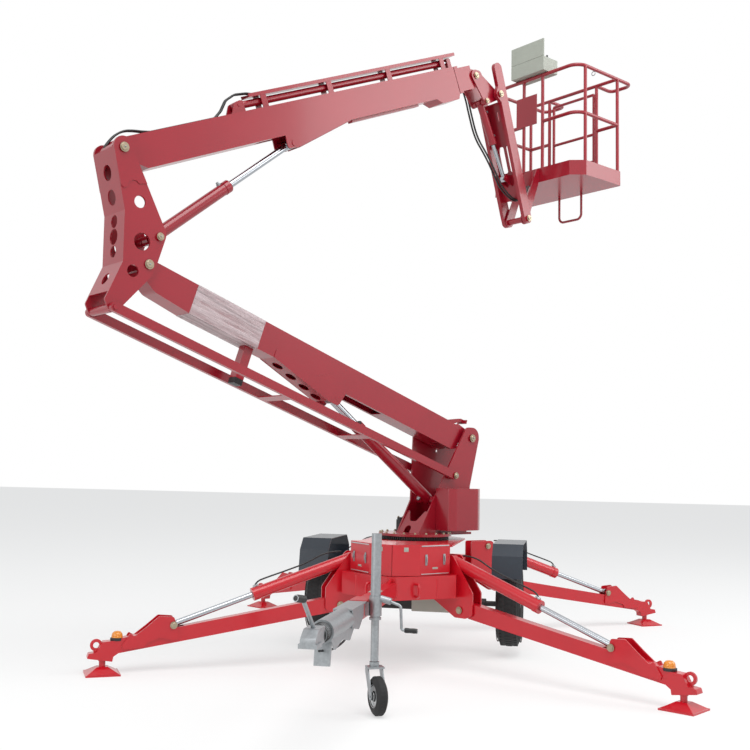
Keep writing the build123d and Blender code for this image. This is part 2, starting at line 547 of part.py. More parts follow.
with BuildPart() as tie_bars:
    BARS = along(BAR_HEAD, -LOWER_RISE)
    pair(link, BARS, BAR_IN, BAR_OUT, ((0, 0, 36), (LOWER_LENGTH, 0, 36)))
    for point in ((0, 0), (LOWER_LENGTH, 0)):
        cross_pin(BARS, point, 20.05, BAR_OUT + 1, mode=Mode.SUBTRACT)
    for x in BAR_TIES:
        slab(BARS, -BAR_IN - 1, BAR_IN + 1, rectangle(x, x + 90, -36, -26))
keep("tie_bars", tie_bars)

EDGE = ((-3283, 4025), (-3171, 3562), (-3168, 3172), (-3300, 2872))
with BuildPart() as knuckle:
    side = (EDGE[0], (-3285, 4117, 80), (-3125, 4117, 60), (-3117, 4030), (-3075, 3938), (-2884, 3572, 30),
            (-2815, 3440, 40), (-2819, 3400, 20), (-2878, 3211, 30), (-2924, 3091), (-3147, 2846), (-3172, 2793, 25),
            (-3261, 2783, 40), (*EDGE[3], 25), *EDGE[2:0:-1])
    pair(slab, BOOM, KNUCKLE_IN, KNUCKLE_OUT, side, holes=((-3049, 3643, 47), (-3018, 3343, 67), (-3084, 3110, 47)))
    # the back plates between the cheeks: length, and holes (distance down, radius)
    for start, end, length, holes in ((EDGE[0], EDGE[1], 477, ((170, 60), (357, 60))),
                                      (EDGE[1], EDGE[2], 391, ((65, 50), (181, 62), (296, 46))),
                                      (EDGE[2], EDGE[3], 259, ((131, 48),))):
        slab(on_edge(BOOM, start, end), -12, 0, rectangle(0, length, -KNUCKLE_IN - 1, KNUCKLE_IN + 1),
             holes=[(x, 0, radius) for x, radius in holes])
    # the wavy doubler under the head pin
    pair(slab, BOOM, KNUCKLE_OUT - 0.1, KNUCKLE_OUT + 6,
         (EDGE[0], (-3285, 4117, 80), (-3125, 4117, 60), (-3117, 4030), (-3075, 3938), (-2998, 3790),
          (-3030, 3786, 15), (-3063, 3777, 15), (-3087, 3797, 15), (-3119, 3798, 15), (-3151, 3775, 12),
          (-3158, 3740, 12), (-3188, 3725, 12), (-3214, 3744)))
    cross_pin(BOOM, ELBOW_HEAD, 30, KNUCKLE_OUT + 14)
    cross_pin(BOOM, ELBOW_FOOT, 30, KNUCKLE_OUT + 7)
    cross_pin(BOOM, UPPER_LIFT_FOOT, 25, KNUCKLE_OUT + 14)
    for low, high in ((60, KNUCKLE_IN + 1), (-KNUCKLE_IN - 1, -60)):
        rod(in_boom(UPPER_LIFT_FOOT, low), in_boom(UPPER_LIFT_FOOT, high), 38)
    cross_pin(BOOM, BAR_HEAD, 34, KNUCKLE_IN + 1)
    for low, high, radius in ((KNUCKLE_OUT - 1, BAR_IN - 1, 34), (KNUCKLE_OUT, BAR_OUT + 8, 20)):
        rod(in_boom(BAR_HEAD, low), in_boom(BAR_HEAD, high), radius)
        rod(in_boom(BAR_HEAD, -high), in_boom(BAR_HEAD, -low), radius)
keep("knuckle", knuckle)

LIFTS = (
    # name, foot, eye, barrel length, barrel radius, rod radius, where the rod begins, eye half width, eye, pin
    ("lower_lift", LOWER_LIFT_FOOT, LOWER_LIFT_EYE, 1118, 55, 33, 410, 40, 42, 25.05),
    ("upper_lift", UPPER_LIFT_FOOT, UPPER_LIFT_EYE, 905, 50, 30, 400, 40, 40, 25.05),
    ("jib_lift", JIB_LIFT_FOOT, JIB_LIFT_EYE, 440, 38, 20, 110, 24, 34, 20.05),
)
for name, foot, eye, length, radius, rod_radius, start, half, ring, pin in LIFTS:
    plane = between(foot, eye)
    with BuildPart() as barrel:
        cylinder_barrel(plane, length, radius, rod_radius + 1, ring, half, pin)
    keep(f"{name}_barrel", barrel)
    with BuildPart() as piston:
        cylinder_rod(plane, start, math.dist(foot, eye), rod_radius, ring, half)
    keep(f"{name}_rod", piston)

# ---------------------------------------------------------------- upper boom
UPPER = along(ELBOW_HEAD, UPPER_RISE)
UPPER_EYE = UPPER.to_local_coords(in_boom(UPPER_LIFT_EYE))
UPPER_EYE = (UPPER_EYE.X, UPPER_EYE.Y)
EAR_KNEE, EAR_TOE = (1686, -305), (2366, UPPER_LOW + 2)
with BuildPart() as upper_boom:
    slab(UPPER, -BOOM_HALF, BOOM_HALF, ((0, -58), (106, -131), (191, UPPER_LOW), (UPPER_END, UPPER_LOW),
                                        (UPPER_END, UPPER_TOP), (25, UPPER_TOP), (0, 58)))
    cross_pin(UPPER, (0, 0), 62, BOOM_HALF)
    slab(UPPER, -BOOM_HALF + 8, BOOM_HALF - 8, rectangle(330, UPPER_END + 1, UPPER_LOW + 8, UPPER_TOP - 8),
         mode=Mode.SUBTRACT)
    bosses(UPPER, (0, 0), 55, BOOM_HALF, KNUCKLE_IN - BOSS_GAP, 30.05)
    cross_pin(UPPER, (0, 0), 30.05, BOOM_HALF + 1, mode=Mode.SUBTRACT)
    # the tapered ears of the lift cylinder's eye and their belly
    pair(slab, UPPER, BOOM_HALF - 12, BOOM_HALF, ((1581, UPPER_LOW + 2), (1571, -295, 25), (*EAR_KNEE, 30), EAR_TOE))
    slab(on_edge(UPPER, EAR_KNEE, EAR_TOE), 0, 8, rectangle(20, 686, -BOOM_HALF + 10, BOOM_HALF - 10))
    for low, high, radius in ((EYE_ROOM, BOOM_HALF - 10, 38), (BOOM_HALF - 11, BOOM_HALF + 6, 25)):
        stub_pins(UPPER, UPPER_EYE, radius, low, high)
    slab(UPPER, -48, 48, rectangle(1330, 1780, UPPER_LOW - 1, UPPER_LOW + 9), mode=Mode.SUBTRACT)
    # the rail under the boom, and the thick end that guides the inner boom
    slab(UPPER, -30, 30, rectangle(2433, 3329, UPPER_LOW - 21, UPPER_LOW + 1))
    slab(UPPER, -BOOM_HALF, BOOM_HALF, ((3525, UPPER_LOW + 1), (3601, -238, 30), (3845, -235, 20),
                                        (UPPER_END, UPPER_LOW + 1)))
    # ears of the extension cylinder
    pair(slab, UPPER, 40, 52, ((1138, UPPER_TOP - 4), (1200, 172, 25), (1253, 184, 20), (1285, 178, 12),
                               (1288, UPPER_TOP - 4)))
    cross_pin(UPPER, EXTENSION_PIN, 15, 56)
    # the hose tray over that cylinder, on its brackets
    slab(UPPER, -56, 56, rectangle(1360, 3995, 192, 196))
    pair(slab, UPPER, 52, 56, rectangle(1360, 3995, 192, 222))
    for x in (1480, 2240, 3000, 3760):
        pair(slab, UPPER, 46, 54, rectangle(x, x + 60, UPPER_TOP - 2, 194))
keep("upper_boom", upper_boom)

EXTENSION = Plane(origin=UPPER.from_local_coords(Vector(*EXTENSION_PIN, 0)), x_dir=UPPER.x_dir, z_dir=UPPER.z_dir)
with BuildPart() as extension_cylinder:
    cylinder_barrel(EXTENSION, EXTENSION_BARREL_END - EXTENSION_PIN[0], 31, 21, 34, 34, 15.05)
keep("extension_cylinder", extension_cylinder)

INNER_LOW, INNER_TOP = UPPER_LOW + 18, UPPER_TOP - 18
TAIL, TAIL_LOW, TAIL_STEP = 560, -100, 1800      # the tail is cut back over the lift cylinder's eye
with BuildPart() as inner_boom:
    slab(UPPER, -INNER_BOOM_HALF, INNER_BOOM_HALF,
         ((TAIL, TAIL_LOW), (TAIL_STEP, TAIL_LOW), (TAIL_STEP + 60, INNER_LOW), (INNER_END, INNER_LOW),
          (INNER_END, INNER_TOP), (TAIL, INNER_TOP)))
    slab(UPPER, -INNER_BOOM_HALF + 7, INNER_BOOM_HALF - 7,
         ((TAIL - 1, TAIL_LOW + 7), (TAIL_STEP + 4, TAIL_LOW + 7), (TAIL_STEP + 64, INNER_LOW + 7),
          (INNER_END - 60, INNER_LOW + 7), (INNER_END - 60, INNER_TOP - 7), (TAIL - 1, INNER_TOP - 7)),
         mode=Mode.SUBTRACT)
    # collar and ears of the head pin
    slab(UPPER, -BOOM_HALF, BOOM_HALF, rectangle(UPPER_END + 8, UPPER_END + 60, UPPER_LOW, UPPER_TOP))
    head_pin = UPPER.to_local_coords(in_boom(HEAD_PIN))
    link(UPPER, -INNER_BOOM_HALF, INNER_BOOM_HALF, ((head_pin.X, head_pin.Y, 62), (INNER_END - 60, head_pin.Y, 90)))
    cross_pin(UPPER, (head_pin.X, head_pin.Y), 25.05, BOOM_HALF + 1, mode=Mode.SUBTRACT)
    # the lug of the extension cylinder's rod
    slab(UPPER, -32, 32, ((UPPER_END + 10, UPPER_TOP - 2), (UPPER_END + 60, UPPER_TOP - 2), (UPPER_END + 60, 182, 20),
                          (UPPER_END + 10, 182, 10)))
keep("inner_boom", inner_boom)

with BuildPart() as extension_rod:
    rod(EXTENSION.from_local_coords(Vector(500, 0, 0)),
        EXTENSION.from_local_coords(Vector(UPPER_END + 10 - EXTENSION_PIN[0], 0, 0)), 20)
keep("extension_rod", extension_rod)

# ---------------------------------------------------------------- head, jib and cage
HEAD_IN, HEAD_OUT = 84, 98
with BuildPart() as boom_head:
    pair(link, BOOM, HEAD_IN, HEAD_OUT, ((*HEAD_PIN, 60), (*JIB_PIN, 48), (*JIB_LIFT_FOOT, 36)))
    cross_pin(BOOM, HEAD_PIN, 25, HEAD_OUT + 6)
    stub_pins(BOOM, JIB_PIN, 25, 60, 172)
    cross_pin(BOOM, JIB_LIFT_FOOT, 20, HEAD_OUT + 6)
    for low, high in ((42, HEAD_IN + 1), (-HEAD_IN - 1, -42)):
        rod(in_boom(JIB_LIFT_FOOT, low), in_boom(JIB_LIFT_FOOT, high), 30)
keep("boom_head", boom_head)

JIB_RISE = -72.06
JIB_IN, JIB_OUT = 118, 160
JIB = along(CAGE_PIN, JIB_RISE + 180)
jib_pin = JIB.to_local_coords(in_boom(JIB_PIN))
jib_eye = JIB.to_local_coords(in_boom(JIB_LIFT_EYE))
WEB_LOW, WEB_HIGH = 470, 1240
with BuildPart() as jib:
    # two side beams, joined by a web and the foot
    pair(link, JIB, JIB_IN, JIB_OUT, ((0, 0, 50), (60, 0, 55), (1560, 0, 55)))
    pair(link, JIB, JIB_IN, JIB_OUT, ((jib_pin.X, jib_pin.Y, 54), (jib_pin.X + 90, 0, 40), (jib_pin.X - 90, 0, 40)))
    web = on_edge(JIB, (WEB_LOW, -44), (WEB_HIGH, -44))
    slab(web, 0, 8, rectangle(0, WEB_HIGH - WEB_LOW, -JIB_IN - 1, JIB_IN + 1))
    for side in (1, -1):
        slab(web, -1, 9, ((38, side * 18, 20), (315, side * 18, 20), (315, side * 84, 20), (38, side * 84, 20)),
             mode=Mode.SUBTRACT)
    slab(web, -1, 9, ((580, -9, 8), (677, -9, 8), (677, 9, 8), (580, 9, 8)), mode=Mode.SUBTRACT)
    slab(JIB, -JIB_IN - 1, JIB_IN + 1, rectangle(215, 480, -52, -4))
    pair(link, JIB, 28, 40, ((jib_eye.X, jib_eye.Y, 36), (380, -20, 24), (460, -20, 16)))
    stub_pins(JIB, (jib_eye.X, jib_eye.Y), 20, 28, 46)
    cross_pin(JIB, (jib_pin.X, jib_pin.Y), 25.05, JIB_OUT + 1, mode=Mode.SUBTRACT)
    cross_pin(JIB, (0, 0), 30, JIB_OUT + 14)
keep("jib", jib)


# The cage is square to the booms: u0 to u1, w0 to w1, z0 to z1.
def crate(u0, u1, w0, w1, z0, z1, mode=Mode.ADD):
    slab(BOOM, w0, w1, rectangle(u0, u1, z0, z1), mode=mode)


def rail(points, bends, radius=RAIL_RADIUS):
    """A bent tube through (u, w, z) points."""
    bent([in_boom((u, z), w) for u, w, z in points], radius, bends)


CAGE_FAR = CAGE_NEAR + CAGE_DEPTH
PLAN = ((CAGE_NEAR, CAGE_HALF - CAGE_CORNER), (CAGE_NEAR + CAGE_CORNER, CAGE_HALF), (CAGE_FAR, CAGE_HALF),
        (CAGE_FAR, -CAGE_HALF), (CAGE_NEAR + CAGE_CORNER, -CAGE_HALF), (CAGE_NEAR, -CAGE_HALF + CAGE_CORNER))
CAGE_GROUND = Plane(origin=(0, 0, 0), x_dir=BOOM.x_dir, z_dir=(0, 0, 1))


def inside(amount):
    """The cage's plan, shrunk on every side, in the ground plane turned to the booms."""
    middle = CAGE_NEAR + CAGE_DEPTH / 2
    return [(u - math.copysign(amount, u - middle), -w + math.copysign(amount, w), 20) for u, w in PLAN]


with BuildPart() as cage_floor:
    slab(CAGE_GROUND, CAGE_FLOOR, CAGE_FLOOR + TOE_HEIGHT, inside(0))
    slab(CAGE_GROUND, CAGE_FLOOR + 50, CAGE_FLOOR + TOE_HEIGHT + 1, inside(5), mode=Mode.SUBTRACT)
    # the bracket down to the jib's foot
    pair(link, BOOM, 95, 110, ((*CAGE_PIN, 52), (1595, CAGE_FLOOR + 36, 30), (1603, CAGE_FLOOR + 125, 22)))
    cross_pin(BOOM, CAGE_PIN, 30.05, 111, mode=Mode.SUBTRACT)
    crate(1520, 1528, -96, 96, CAGE_FLOOR - 60, CAGE_FLOOR + 100)
    # the hanging step
    rail(((2270, -145, CAGE_FLOOR + 10), (2270, -145, 4465), (2270, 160, 4465), (2270, 160, CAGE_FLOOR + 10)),
         [60, 60], 13)
keep("cage_floor", cage_floor)

POSTS = ((CAGE_NEAR + 24, 130), (CAGE_NEAR + 24, -130), (1762, 606), (1762, -606), (2315, 606), (2315, -606),
         (2317, 330), (2317, -330))
with BuildPart() as cage_rails:
    low = CAGE_FLOOR + 50
    for u, w in POSTS:
        rod(in_boom((u, low), w), in_boom((u, RAIL_TOP), w), RAIL_RADIUS - 1)
    # the top rail is one tube, out past the gate on both sides; the middle one stops at the gate's posts
    for height, reach in ((RAIL_TOP, LOOP_REACH), (RAIL_MID, 0)):
        front = CAGE_NEAR + 24
        for side in (1, -1):
            points = [(front, 0 if reach else side * 130, height), (front, side * 606, height),
                      (2320 + reach, side * 606, height)]
            bends = [130]
            if reach:
                points += [(2320 + reach, side * 330, height), (2317, side * 330, height)]
                bends += [90, 60]
            rail(points, bends)
            if not reach:
                rod(in_boom((2315, height), side * 606), in_boom((2317, height), side * 330), RAIL_RADIUS - 0.5)
    rod(in_boom((2315, RAIL_TOP), -606), in_boom((2315, RAIL_TOP), 606), RAIL_RADIUS - 0.5)
    crate(CAGE_NEAR + 2, CAGE_NEAR + 5, -220, 68, 5405, 5736)
keep("cage_rails", cage_rails)

LID_AXIS = (1566, 6109)
with BuildPart() as control_box:
    crate(1560, 1790, -243, 211, RAIL_TOP + RAIL_RADIUS + 0.1, 6101)
keep("control_box", control_box)

with BuildPart() as control_lid:
    crate(1560, 1572, -243, 211, LID_AXIS[1], 6294)
    rod(in_boom(LID_AXIS, -243), in_boom(LID_AXIS, 211), 6.5)
keep("control_lid", control_lid)

with BuildPart() as cage_gate:
    for w in (-GATE_HALF, GATE_HALF):
        rod(in_boom((2335, 4960), w), in_boom((2335, 5850), w), 16)
    for z in (4960, 5400, 5850):
        rod(in_boom((2335, z), -GATE_HALF), in_boom((2335, z), GATE_HALF), 15.5)
    crate(2334, 2336, -GATE_HALF, GATE_HALF, 4960, 5110)
keep("cage_gate", cage_gate)

# ---------------------------------------------------------------- hoses
HOSE_RADIUS = 9
with BuildPart() as boom_hoses:
    # clipped along the boom's top, up over the extension cylinder and along its tray
    for w, lane in ((-66, -30), (-44, -8)):
        bent([UPPER.from_local_coords(Vector(*point)) for point in (
            (393, 95, w), (1036, 95, w), (1112, 140, w * 0.95), (1190, 216, w * 0.9), (1280, 246, lane - 12),
            (1390, 236, lane), (1500, 206, lane), (3950, 206, lane))], HOSE_RADIUS, [90, 90, 80, 70, 120, 120])
keep("boom_hoses", boom_hoses)
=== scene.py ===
"""Looks for a towable articulating boom lift: its finishes, small hardware, hoses and stage."""
import json
import math

import bmesh
import bpy
from bpy.props import FloatProperty, FloatVectorProperty, IntProperty, PointerProperty
from mathutils import Matrix, Vector


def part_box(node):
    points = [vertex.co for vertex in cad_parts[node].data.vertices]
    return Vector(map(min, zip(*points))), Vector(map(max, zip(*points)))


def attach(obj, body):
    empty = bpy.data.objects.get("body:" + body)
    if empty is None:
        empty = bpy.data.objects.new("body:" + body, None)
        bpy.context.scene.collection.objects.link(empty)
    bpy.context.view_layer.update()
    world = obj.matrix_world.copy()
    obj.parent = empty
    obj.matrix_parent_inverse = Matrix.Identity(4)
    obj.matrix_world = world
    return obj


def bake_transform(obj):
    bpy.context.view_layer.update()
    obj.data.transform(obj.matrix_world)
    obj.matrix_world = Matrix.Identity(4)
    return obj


bl_info = {
    "name": "Towable boom lift",
    "version": (1, 0, 0),
    "blender": (4, 5, 0),
    "location": "3D View > Sidebar > Boom lift",
    "description": "Finishes, hardware, hoses and stage of a towable articulating boom lift",
    "category": "Object",
}

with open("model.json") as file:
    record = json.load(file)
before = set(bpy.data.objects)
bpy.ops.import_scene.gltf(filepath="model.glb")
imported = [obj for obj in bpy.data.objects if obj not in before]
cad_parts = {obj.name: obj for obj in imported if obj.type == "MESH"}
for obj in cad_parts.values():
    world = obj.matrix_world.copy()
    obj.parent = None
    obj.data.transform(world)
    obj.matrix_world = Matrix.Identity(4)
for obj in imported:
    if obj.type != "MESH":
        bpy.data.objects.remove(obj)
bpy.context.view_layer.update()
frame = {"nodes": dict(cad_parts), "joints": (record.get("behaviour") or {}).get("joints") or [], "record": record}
JOINTS = {joint["name"]: joint for joint in frame["joints"]}
# the bodies sprayed in the deeper enamel
BOOM_BODIES = ("turret", "lower_boom", "lower_lift_barrel", "tie_bars", "knuckle", "upper_boom",
               "upper_lift_barrel", "inner_boom", "boom_head", "jib", "jib_lift_barrel", "cage", "cage_gate")
ARMS = ("front_right", "front_left", "rear_right", "rear_left")
SIDES = ((1, "right"), (-1, "left"))
BOOM_SIDES = ((1, "near"), (-1, "far"))
UPPER_RISE = math.radians(23.62)         # the upper boom at rest
TUBE_SIDES = 14
SLEW_TEETH, SLEW_BOLTS = 84, 20
WHEEL_NUTS, WHEEL_NUT_CIRCLE = 5, 0.056
JOCKEY_TREAD_BLOCKS = 30
STUD_ROWS, STUD_COLUMNS, STUD_PITCH = 13, 24, 0.050
CAGE_FLOOR_TOP = 4.802
BELLOWS_FOLDS, BELLOWS_PITCH = 6, 0.0215
STAGE_HALF = 60
FLOOR_GLOW = 0.55                        # how much of the floor shows as plain white


def linear(code):
    """An sRGB hex colour as the linear values that Blender works in."""
    channels = [int(code[i:i + 2], 16) / 255 for i in (1, 3, 5)]
    return tuple(c / 12.92 if c <= 0.04045 else ((c + 0.055) / 1.055) ** 2.4 for c in channels)


def colour(name, code, description):
    return FloatVectorProperty(name=name, description=description, subtype="COLOR", size=3, min=0, max=1,
                               default=linear(code))


def size(name, metres, description):
    return FloatProperty(name=name, description=description, unit="LENGTH", default=metres)


# ------------------------------------------------------------------ settings
class LiftColours(bpy.types.PropertyGroup):
    paint: colour("Paint", "#C00A1E", "Gloss enamel of the chassis and outriggers")
    boom_paint: colour("Boom paint", "#940A20", "Deeper enamel of the booms, turret and cage")
    zinc: colour("Zinc", "#A4A8AB", "Galvanised coupling and jockey wheel")
    passivate: colour("Passivate", "#A79A84", "Yellow passivated pin heads and bolts")
    chrome: colour("Chrome", "#B4B8BD", "Hard chrome of the piston rods")
    tyre: colour("Tyre", "#1B1B1C", "Tyre rubber")
    fender: colour("Fender", "#27303A", "Moulded fenders")
    cabinet: colour("Cabinet", "#A3A79C", "Grey enamel of the control box")
    lens: colour("Lens", "#E58A14", "Amber beacon lens")
    film: colour("Film", "#D8C6C8", "Stretch film left on the lower boom")
    hose: colour("Hose", "#151516", "Hydraulic hose cover")
    floor: colour("Floor", "#F7F7F5", "Pale studio floor")


class LiftHardware(bpy.types.PropertyGroup):
    hose: size("Hose", 0.017, "Outside diameter of a hydraulic hose")
    head: size("Pin head", 0.024, "Radius of a large pin's head")
    washer: size("Washer", 0.0045, "Thickness of the plate under a pin's head")
    tread: IntProperty(name="Tread blocks", description="Blocks round a tyre", default=54, min=12)


class LiftStage(bpy.types.PropertyGroup):
    eye: FloatVectorProperty(name="Camera", description="Where the camera stands",
                             subtype="TRANSLATION", size=3, default=(1.476, -8.996, 1.654))
    heading: FloatProperty(name="Heading", description="Camera's turn to the right of +Y", subtype="ANGLE",
                           default=math.radians(-11.118))
    rise: FloatProperty(name="Rise", description="Camera's pitch above the horizon", subtype="ANGLE",
                        default=math.radians(5.367))
    roll: FloatProperty(name="Roll", description="Camera's roll about its axis", subtype="ANGLE",
                        default=math.radians(1.17))
    lens: FloatProperty(name="Lens", description="Focal length on a 36 mm sensor", unit="CAMERA",
                        default=49.33)
    key: FloatProperty(name="Key light", description="Strength of the large overhead light", default=1.0)


# ------------------------------------------------------------------ materials
def add(tree, kind, links=None, **values):
    """Add one node, set its sockets and properties by name, and link its inputs."""
    node = tree.nodes.new(kind)
    for name, value in values.items():
        socket = node.inputs.get(name.replace("_", " "))
        if socket is not None:
            socket.default_value = value
        else:
            setattr(node, name, value)
    for name, output in (links or {}).items():
        tree.links.new(node.inputs[name], output)
    return node


def material(name, colour_value, roughness, **sockets):
    """A Principled material with its Object coordinates at hand."""
    finish = bpy.data.materials.get(name)
    if finish:
        return finish, None, None, None
    finish = bpy.data.materials.new(name)
    finish.use_nodes = True
    tree = finish.node_tree
    tree.nodes.clear()
    shader = add(tree, "ShaderNodeBsdfPrincipled", Base_Color=(*colour_value, 1), Roughness=roughness,
                 **sockets)
    add(tree, "ShaderNodeOutputMaterial", {"Surface": shader.outputs[0]})
    place = add(tree, "ShaderNodeTexCoord").outputs["Object"]
    return finish, tree, shader, place


def mottle(tree, shader, place, colour_value, scale, depth):
    """Vary a colour a little, lighter and darker, over patches of one size."""
    noise = add(tree, "ShaderNodeTexNoise", {"Vector": place}, Scale=scale, Detail=4.0, Roughness=0.6)
    dark = tuple(c * (1 - depth) for c in colour_value) + (1,)
    light = tuple(min(1, c * (1 + depth)) for c in colour_value) + (1,)
    blend = add(tree, "ShaderNodeMix", {"Factor": noise.outputs["Fac"]}, data_type="RGBA")
    blend.inputs["A"].default_value, blend.inputs["B"].default_value = dark, light
    tree.links.new(shader.inputs["Base Color"], blend.outputs["Result"])


def relief(tree, shader, height, distance, strength):
    """Raise a surface a little where a height is high."""
    bump = add(tree, "ShaderNodeBump", {"Height": height}, Strength=strength, Distance=distance)
    tree.links.new(shader.inputs["Normal"], bump.outputs["Normal"])


def plain_rays(tree):
    """One for the rays that should meet the plain background: the eye's, gloss's and glass's."""
    path = add(tree, "ShaderNodeLightPath")
    shiny = add(tree, "ShaderNodeMath", {0: path.outputs["Is Camera Ray"], 1: path.outputs["Is Glossy Ray"]},
                operation="MAXIMUM")
    return add(tree, "ShaderNodeMath", {0: shiny.outputs[0], 1: path.outputs["Is Transmission Ray"]},
               operation="MAXIMUM").outputs[0]


def settings():
    return bpy.context.scene.lift_colours, bpy.context.scene.lift_hardware, bpy.context.scene.lift_stage


def red_enamel(name="sprayed_red_enamel", paint=None):
    # alkyd machinery enamel sprayed over plate: glossy, in soft patches, with a faint orange peel
    paint = tuple(paint or settings()[0].paint)
    finish, tree, shader, place = material(name, paint, 0.3, Coat_Weight=0.35, Coat_Roughness=0.10)
    if tree:
        mottle(tree, shader, place, paint, 1.6, 0.16)
        peel = add(tree, "ShaderNodeTexNoise", {"Vector": place}, Scale=220.0, Detail=1.0)
        relief(tree, shader, peel.outputs["Fac"], 0.0006, 0.12)
    return finish


def boom_enamel():
    # the same enamel in the deeper red of the booms, the turret and the cage
    return red_enamel("sprayed_crimson_enamel", settings()[0].boom_paint)


def galvanised_steel():
    # hot-dip zinc: crystals of a centimetre or two, each a slightly other grey
    zinc = tuple(settings()[0].zinc)
    finish, tree, shader, place = material("hot_dip_galvanised_steel", zinc, 0.42, Metallic=0.85)
    if tree:
        cells = add(tree, "ShaderNodeTexVoronoi", {"Vector": place}, Scale=70.0)
        grey = add(tree, "ShaderNodeMix", {"Factor": cells.outputs["Color"]}, data_type="RGBA")
        grey.inputs["A"].default_value = (*(c * 0.80 for c in zinc), 1)
        grey.inputs["B"].default_value = (*zinc, 1)
        tree.links.new(shader.inputs["Base Color"], grey.outputs["Result"])
        relief(tree, shader, cells.outputs["Distance"], 0.0004, 0.1)
    return finish


def passivated_steel():
    value = tuple(settings()[0].passivate)
    finish, tree, shader, place = material("yellow_passivated_steel", value, 0.32, Metallic=0.9)
    if tree:
        mottle(tree, shader, place, value, 60.0, 0.25)
    return finish


def hard_chrome():
    value = tuple(settings()[0].chrome)
    finish, tree, shader, place = material("hard_chrome_rod", value, 0.10, Metallic=1.0)
    if tree:
        noise = add(tree, "ShaderNodeTexNoise", {"Vector": place}, Scale=8.0, Detail=2.0)
        rough = add(tree, "ShaderNodeMapRange", {"Value": noise.outputs["Fac"]})
        rough.inputs["To Min"].default_value, rough.inputs["To Max"].default_value = 0.16, 0.26
        tree.links.new(shader.inputs["Roughness"], rough.outputs["Result"])
    return finish


def plain(name, value, roughness, patch=40.0, depth=0.12, grain=0.0, grain_scale=500.0, **sockets):
    finish, tree, shader, place = material(name, value, roughness, **sockets)
    if tree:
        mottle(tree, shader, place, value, patch, depth)
        if grain:
            fine = add(tree, "ShaderNodeTexNoise", {"Vector": place}, Scale=grain_scale, Detail=2.0)
            relief(tree, shader, fine.outputs["Fac"], grain, 0.4)
    return finish


def tyre_rubber():
    return plain("vulcanised_tyre_rubber", tuple(settings()[0].tyre), 0.72, 25.0, 0.25, 0.001, 300.0)


def hose_rubber():
    return plain("hose_cover_rubber", tuple(settings()[0].hose), 0.42, 60.0, 0.3, 0.0005, 900.0)


def moulded_fender():
    return plain("moulded_fender_plastic", tuple(settings()[0].fender), 0.3, 12.0, 0.15, 0.0003, 700.0)


def grey_cabinet():
    return plain("grey_cabinet_enamel", tuple(settings()[0].cabinet), 0.45, 10.0, 0.08, 0.0003, 500.0)


def dark_steel():
    return plain("black_primed_steel", linear("#222224"), 0.5, 20.0, 0.3, 0.0005, 300.0)


def rim_steel():
    return plain("silver_enamelled_rim", linear("#B9BBBC"), 0.4, 15.0, 0.12, 0.0, Metallic=0.5)


def amber_lens():
    return plain("amber_acrylic_lens", tuple(settings()[0].lens), 0.18, 40.0, 0.15, Coat_Weight=0.6)


def stretch_film():
    # polyethylene film in several wraps: milky, creased, half seen through
    value = tuple(settings()[0].film)
    finish, tree, shader, place = material("creased_stretch_film", value, 0.3, Alpha=0.6,
                                           Specular_IOR_Level=0.6)
    if tree:
        # the wraps pull the creases out along the boom
        long = add(tree, "ShaderNodeMapping", {"Vector": place}, vector_type="TEXTURE")
        long.inputs["Rotation"].default_value = (0, math.radians(18.5), math.radians(51.8))
        long.inputs["Scale"].default_value = (0.55, 0.06, 0.035)
        creases = add(tree, "ShaderNodeTexNoise", {"Vector": long.outputs[0]}, Scale=1.4, Detail=6.0,
                      Roughness=0.75)
        relief(tree, shader, creases.outputs["Fac"], 0.012, 0.8)
        layer = add(tree, "ShaderNodeMapRange", {"Value": creases.outputs["Fac"]})
        layer.inputs["From Min"].default_value, layer.inputs["From Max"].default_value = 0.35, 0.65
        layer.inputs["To Min"].default_value, layer.inputs["To Max"].default_value = 0.35, 0.85
        tree.links.new(shader.inputs["Alpha"], layer.outputs["Result"])
    return finish


# ------------------------------------------------------------------ shared making of pieces
def pose_of(joint):
    return Vector(JOINTS[joint]["pos_m"])


def finish_piece(name, bm, finish, body, smooth):
    """Turn a bmesh into a piece at the origin, with its finish, riding on a body unless that is None."""
    mesh = bpy.data.meshes.new(name)
    bmesh.ops.recalc_face_normals(bm, faces=bm.faces[:])
    bm.to_mesh(mesh)
    bm.free()
    piece = bpy.data.objects.new(name, mesh)
    bpy.context.scene.collection.objects.link(piece)
    mesh.materials.append(finish)
    mesh.shade_smooth()
    mesh.set_sharp_from_angle(angle=math.radians(smooth))
    if body:
        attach(piece, body)
    return piece


# ------------------------------------------------------------------ places
ACROSS = Vector(JOINTS["upper_boom"]["axis"])            # across the booms, to their near side
UPRIGHT = Vector((0, 0, 1))
AWAY = UPRIGHT.cross(ACROSS)                             # from the slew axis towards the cage
SLEW = Vector((*JOINTS["slew"]["pos_m"][:2], 0))


def in_boom(u, z, w=0.0):
    """A place in the booms' upright plane: out from the slew axis, up, and across to the near side."""
    return SLEW + AWAY * u + UPRIGHT * z + ACROSS * w


def seat(place, normal, ahead=UPRIGHT):
    """A frame at a place, with Z along a normal and Y as near to a direction as it goes."""
    up = Vector(normal).normalized()
    side = Vector(ahead).cross(up).normalized()
    return Matrix.Translation(place) @ Matrix((side, up.cross(side), up)).transposed().to_4x4()


def along(foot, rise):
    """A boom's frame: X along it, Y across it in the upright plane, Z to the near side."""
    ahead = AWAY * math.cos(rise) + UPRIGHT * math.sin(rise)
    return Matrix.Translation(foot) @ Matrix((ahead, ACROSS.cross(ahead), ACROSS)).transposed().to_4x4()


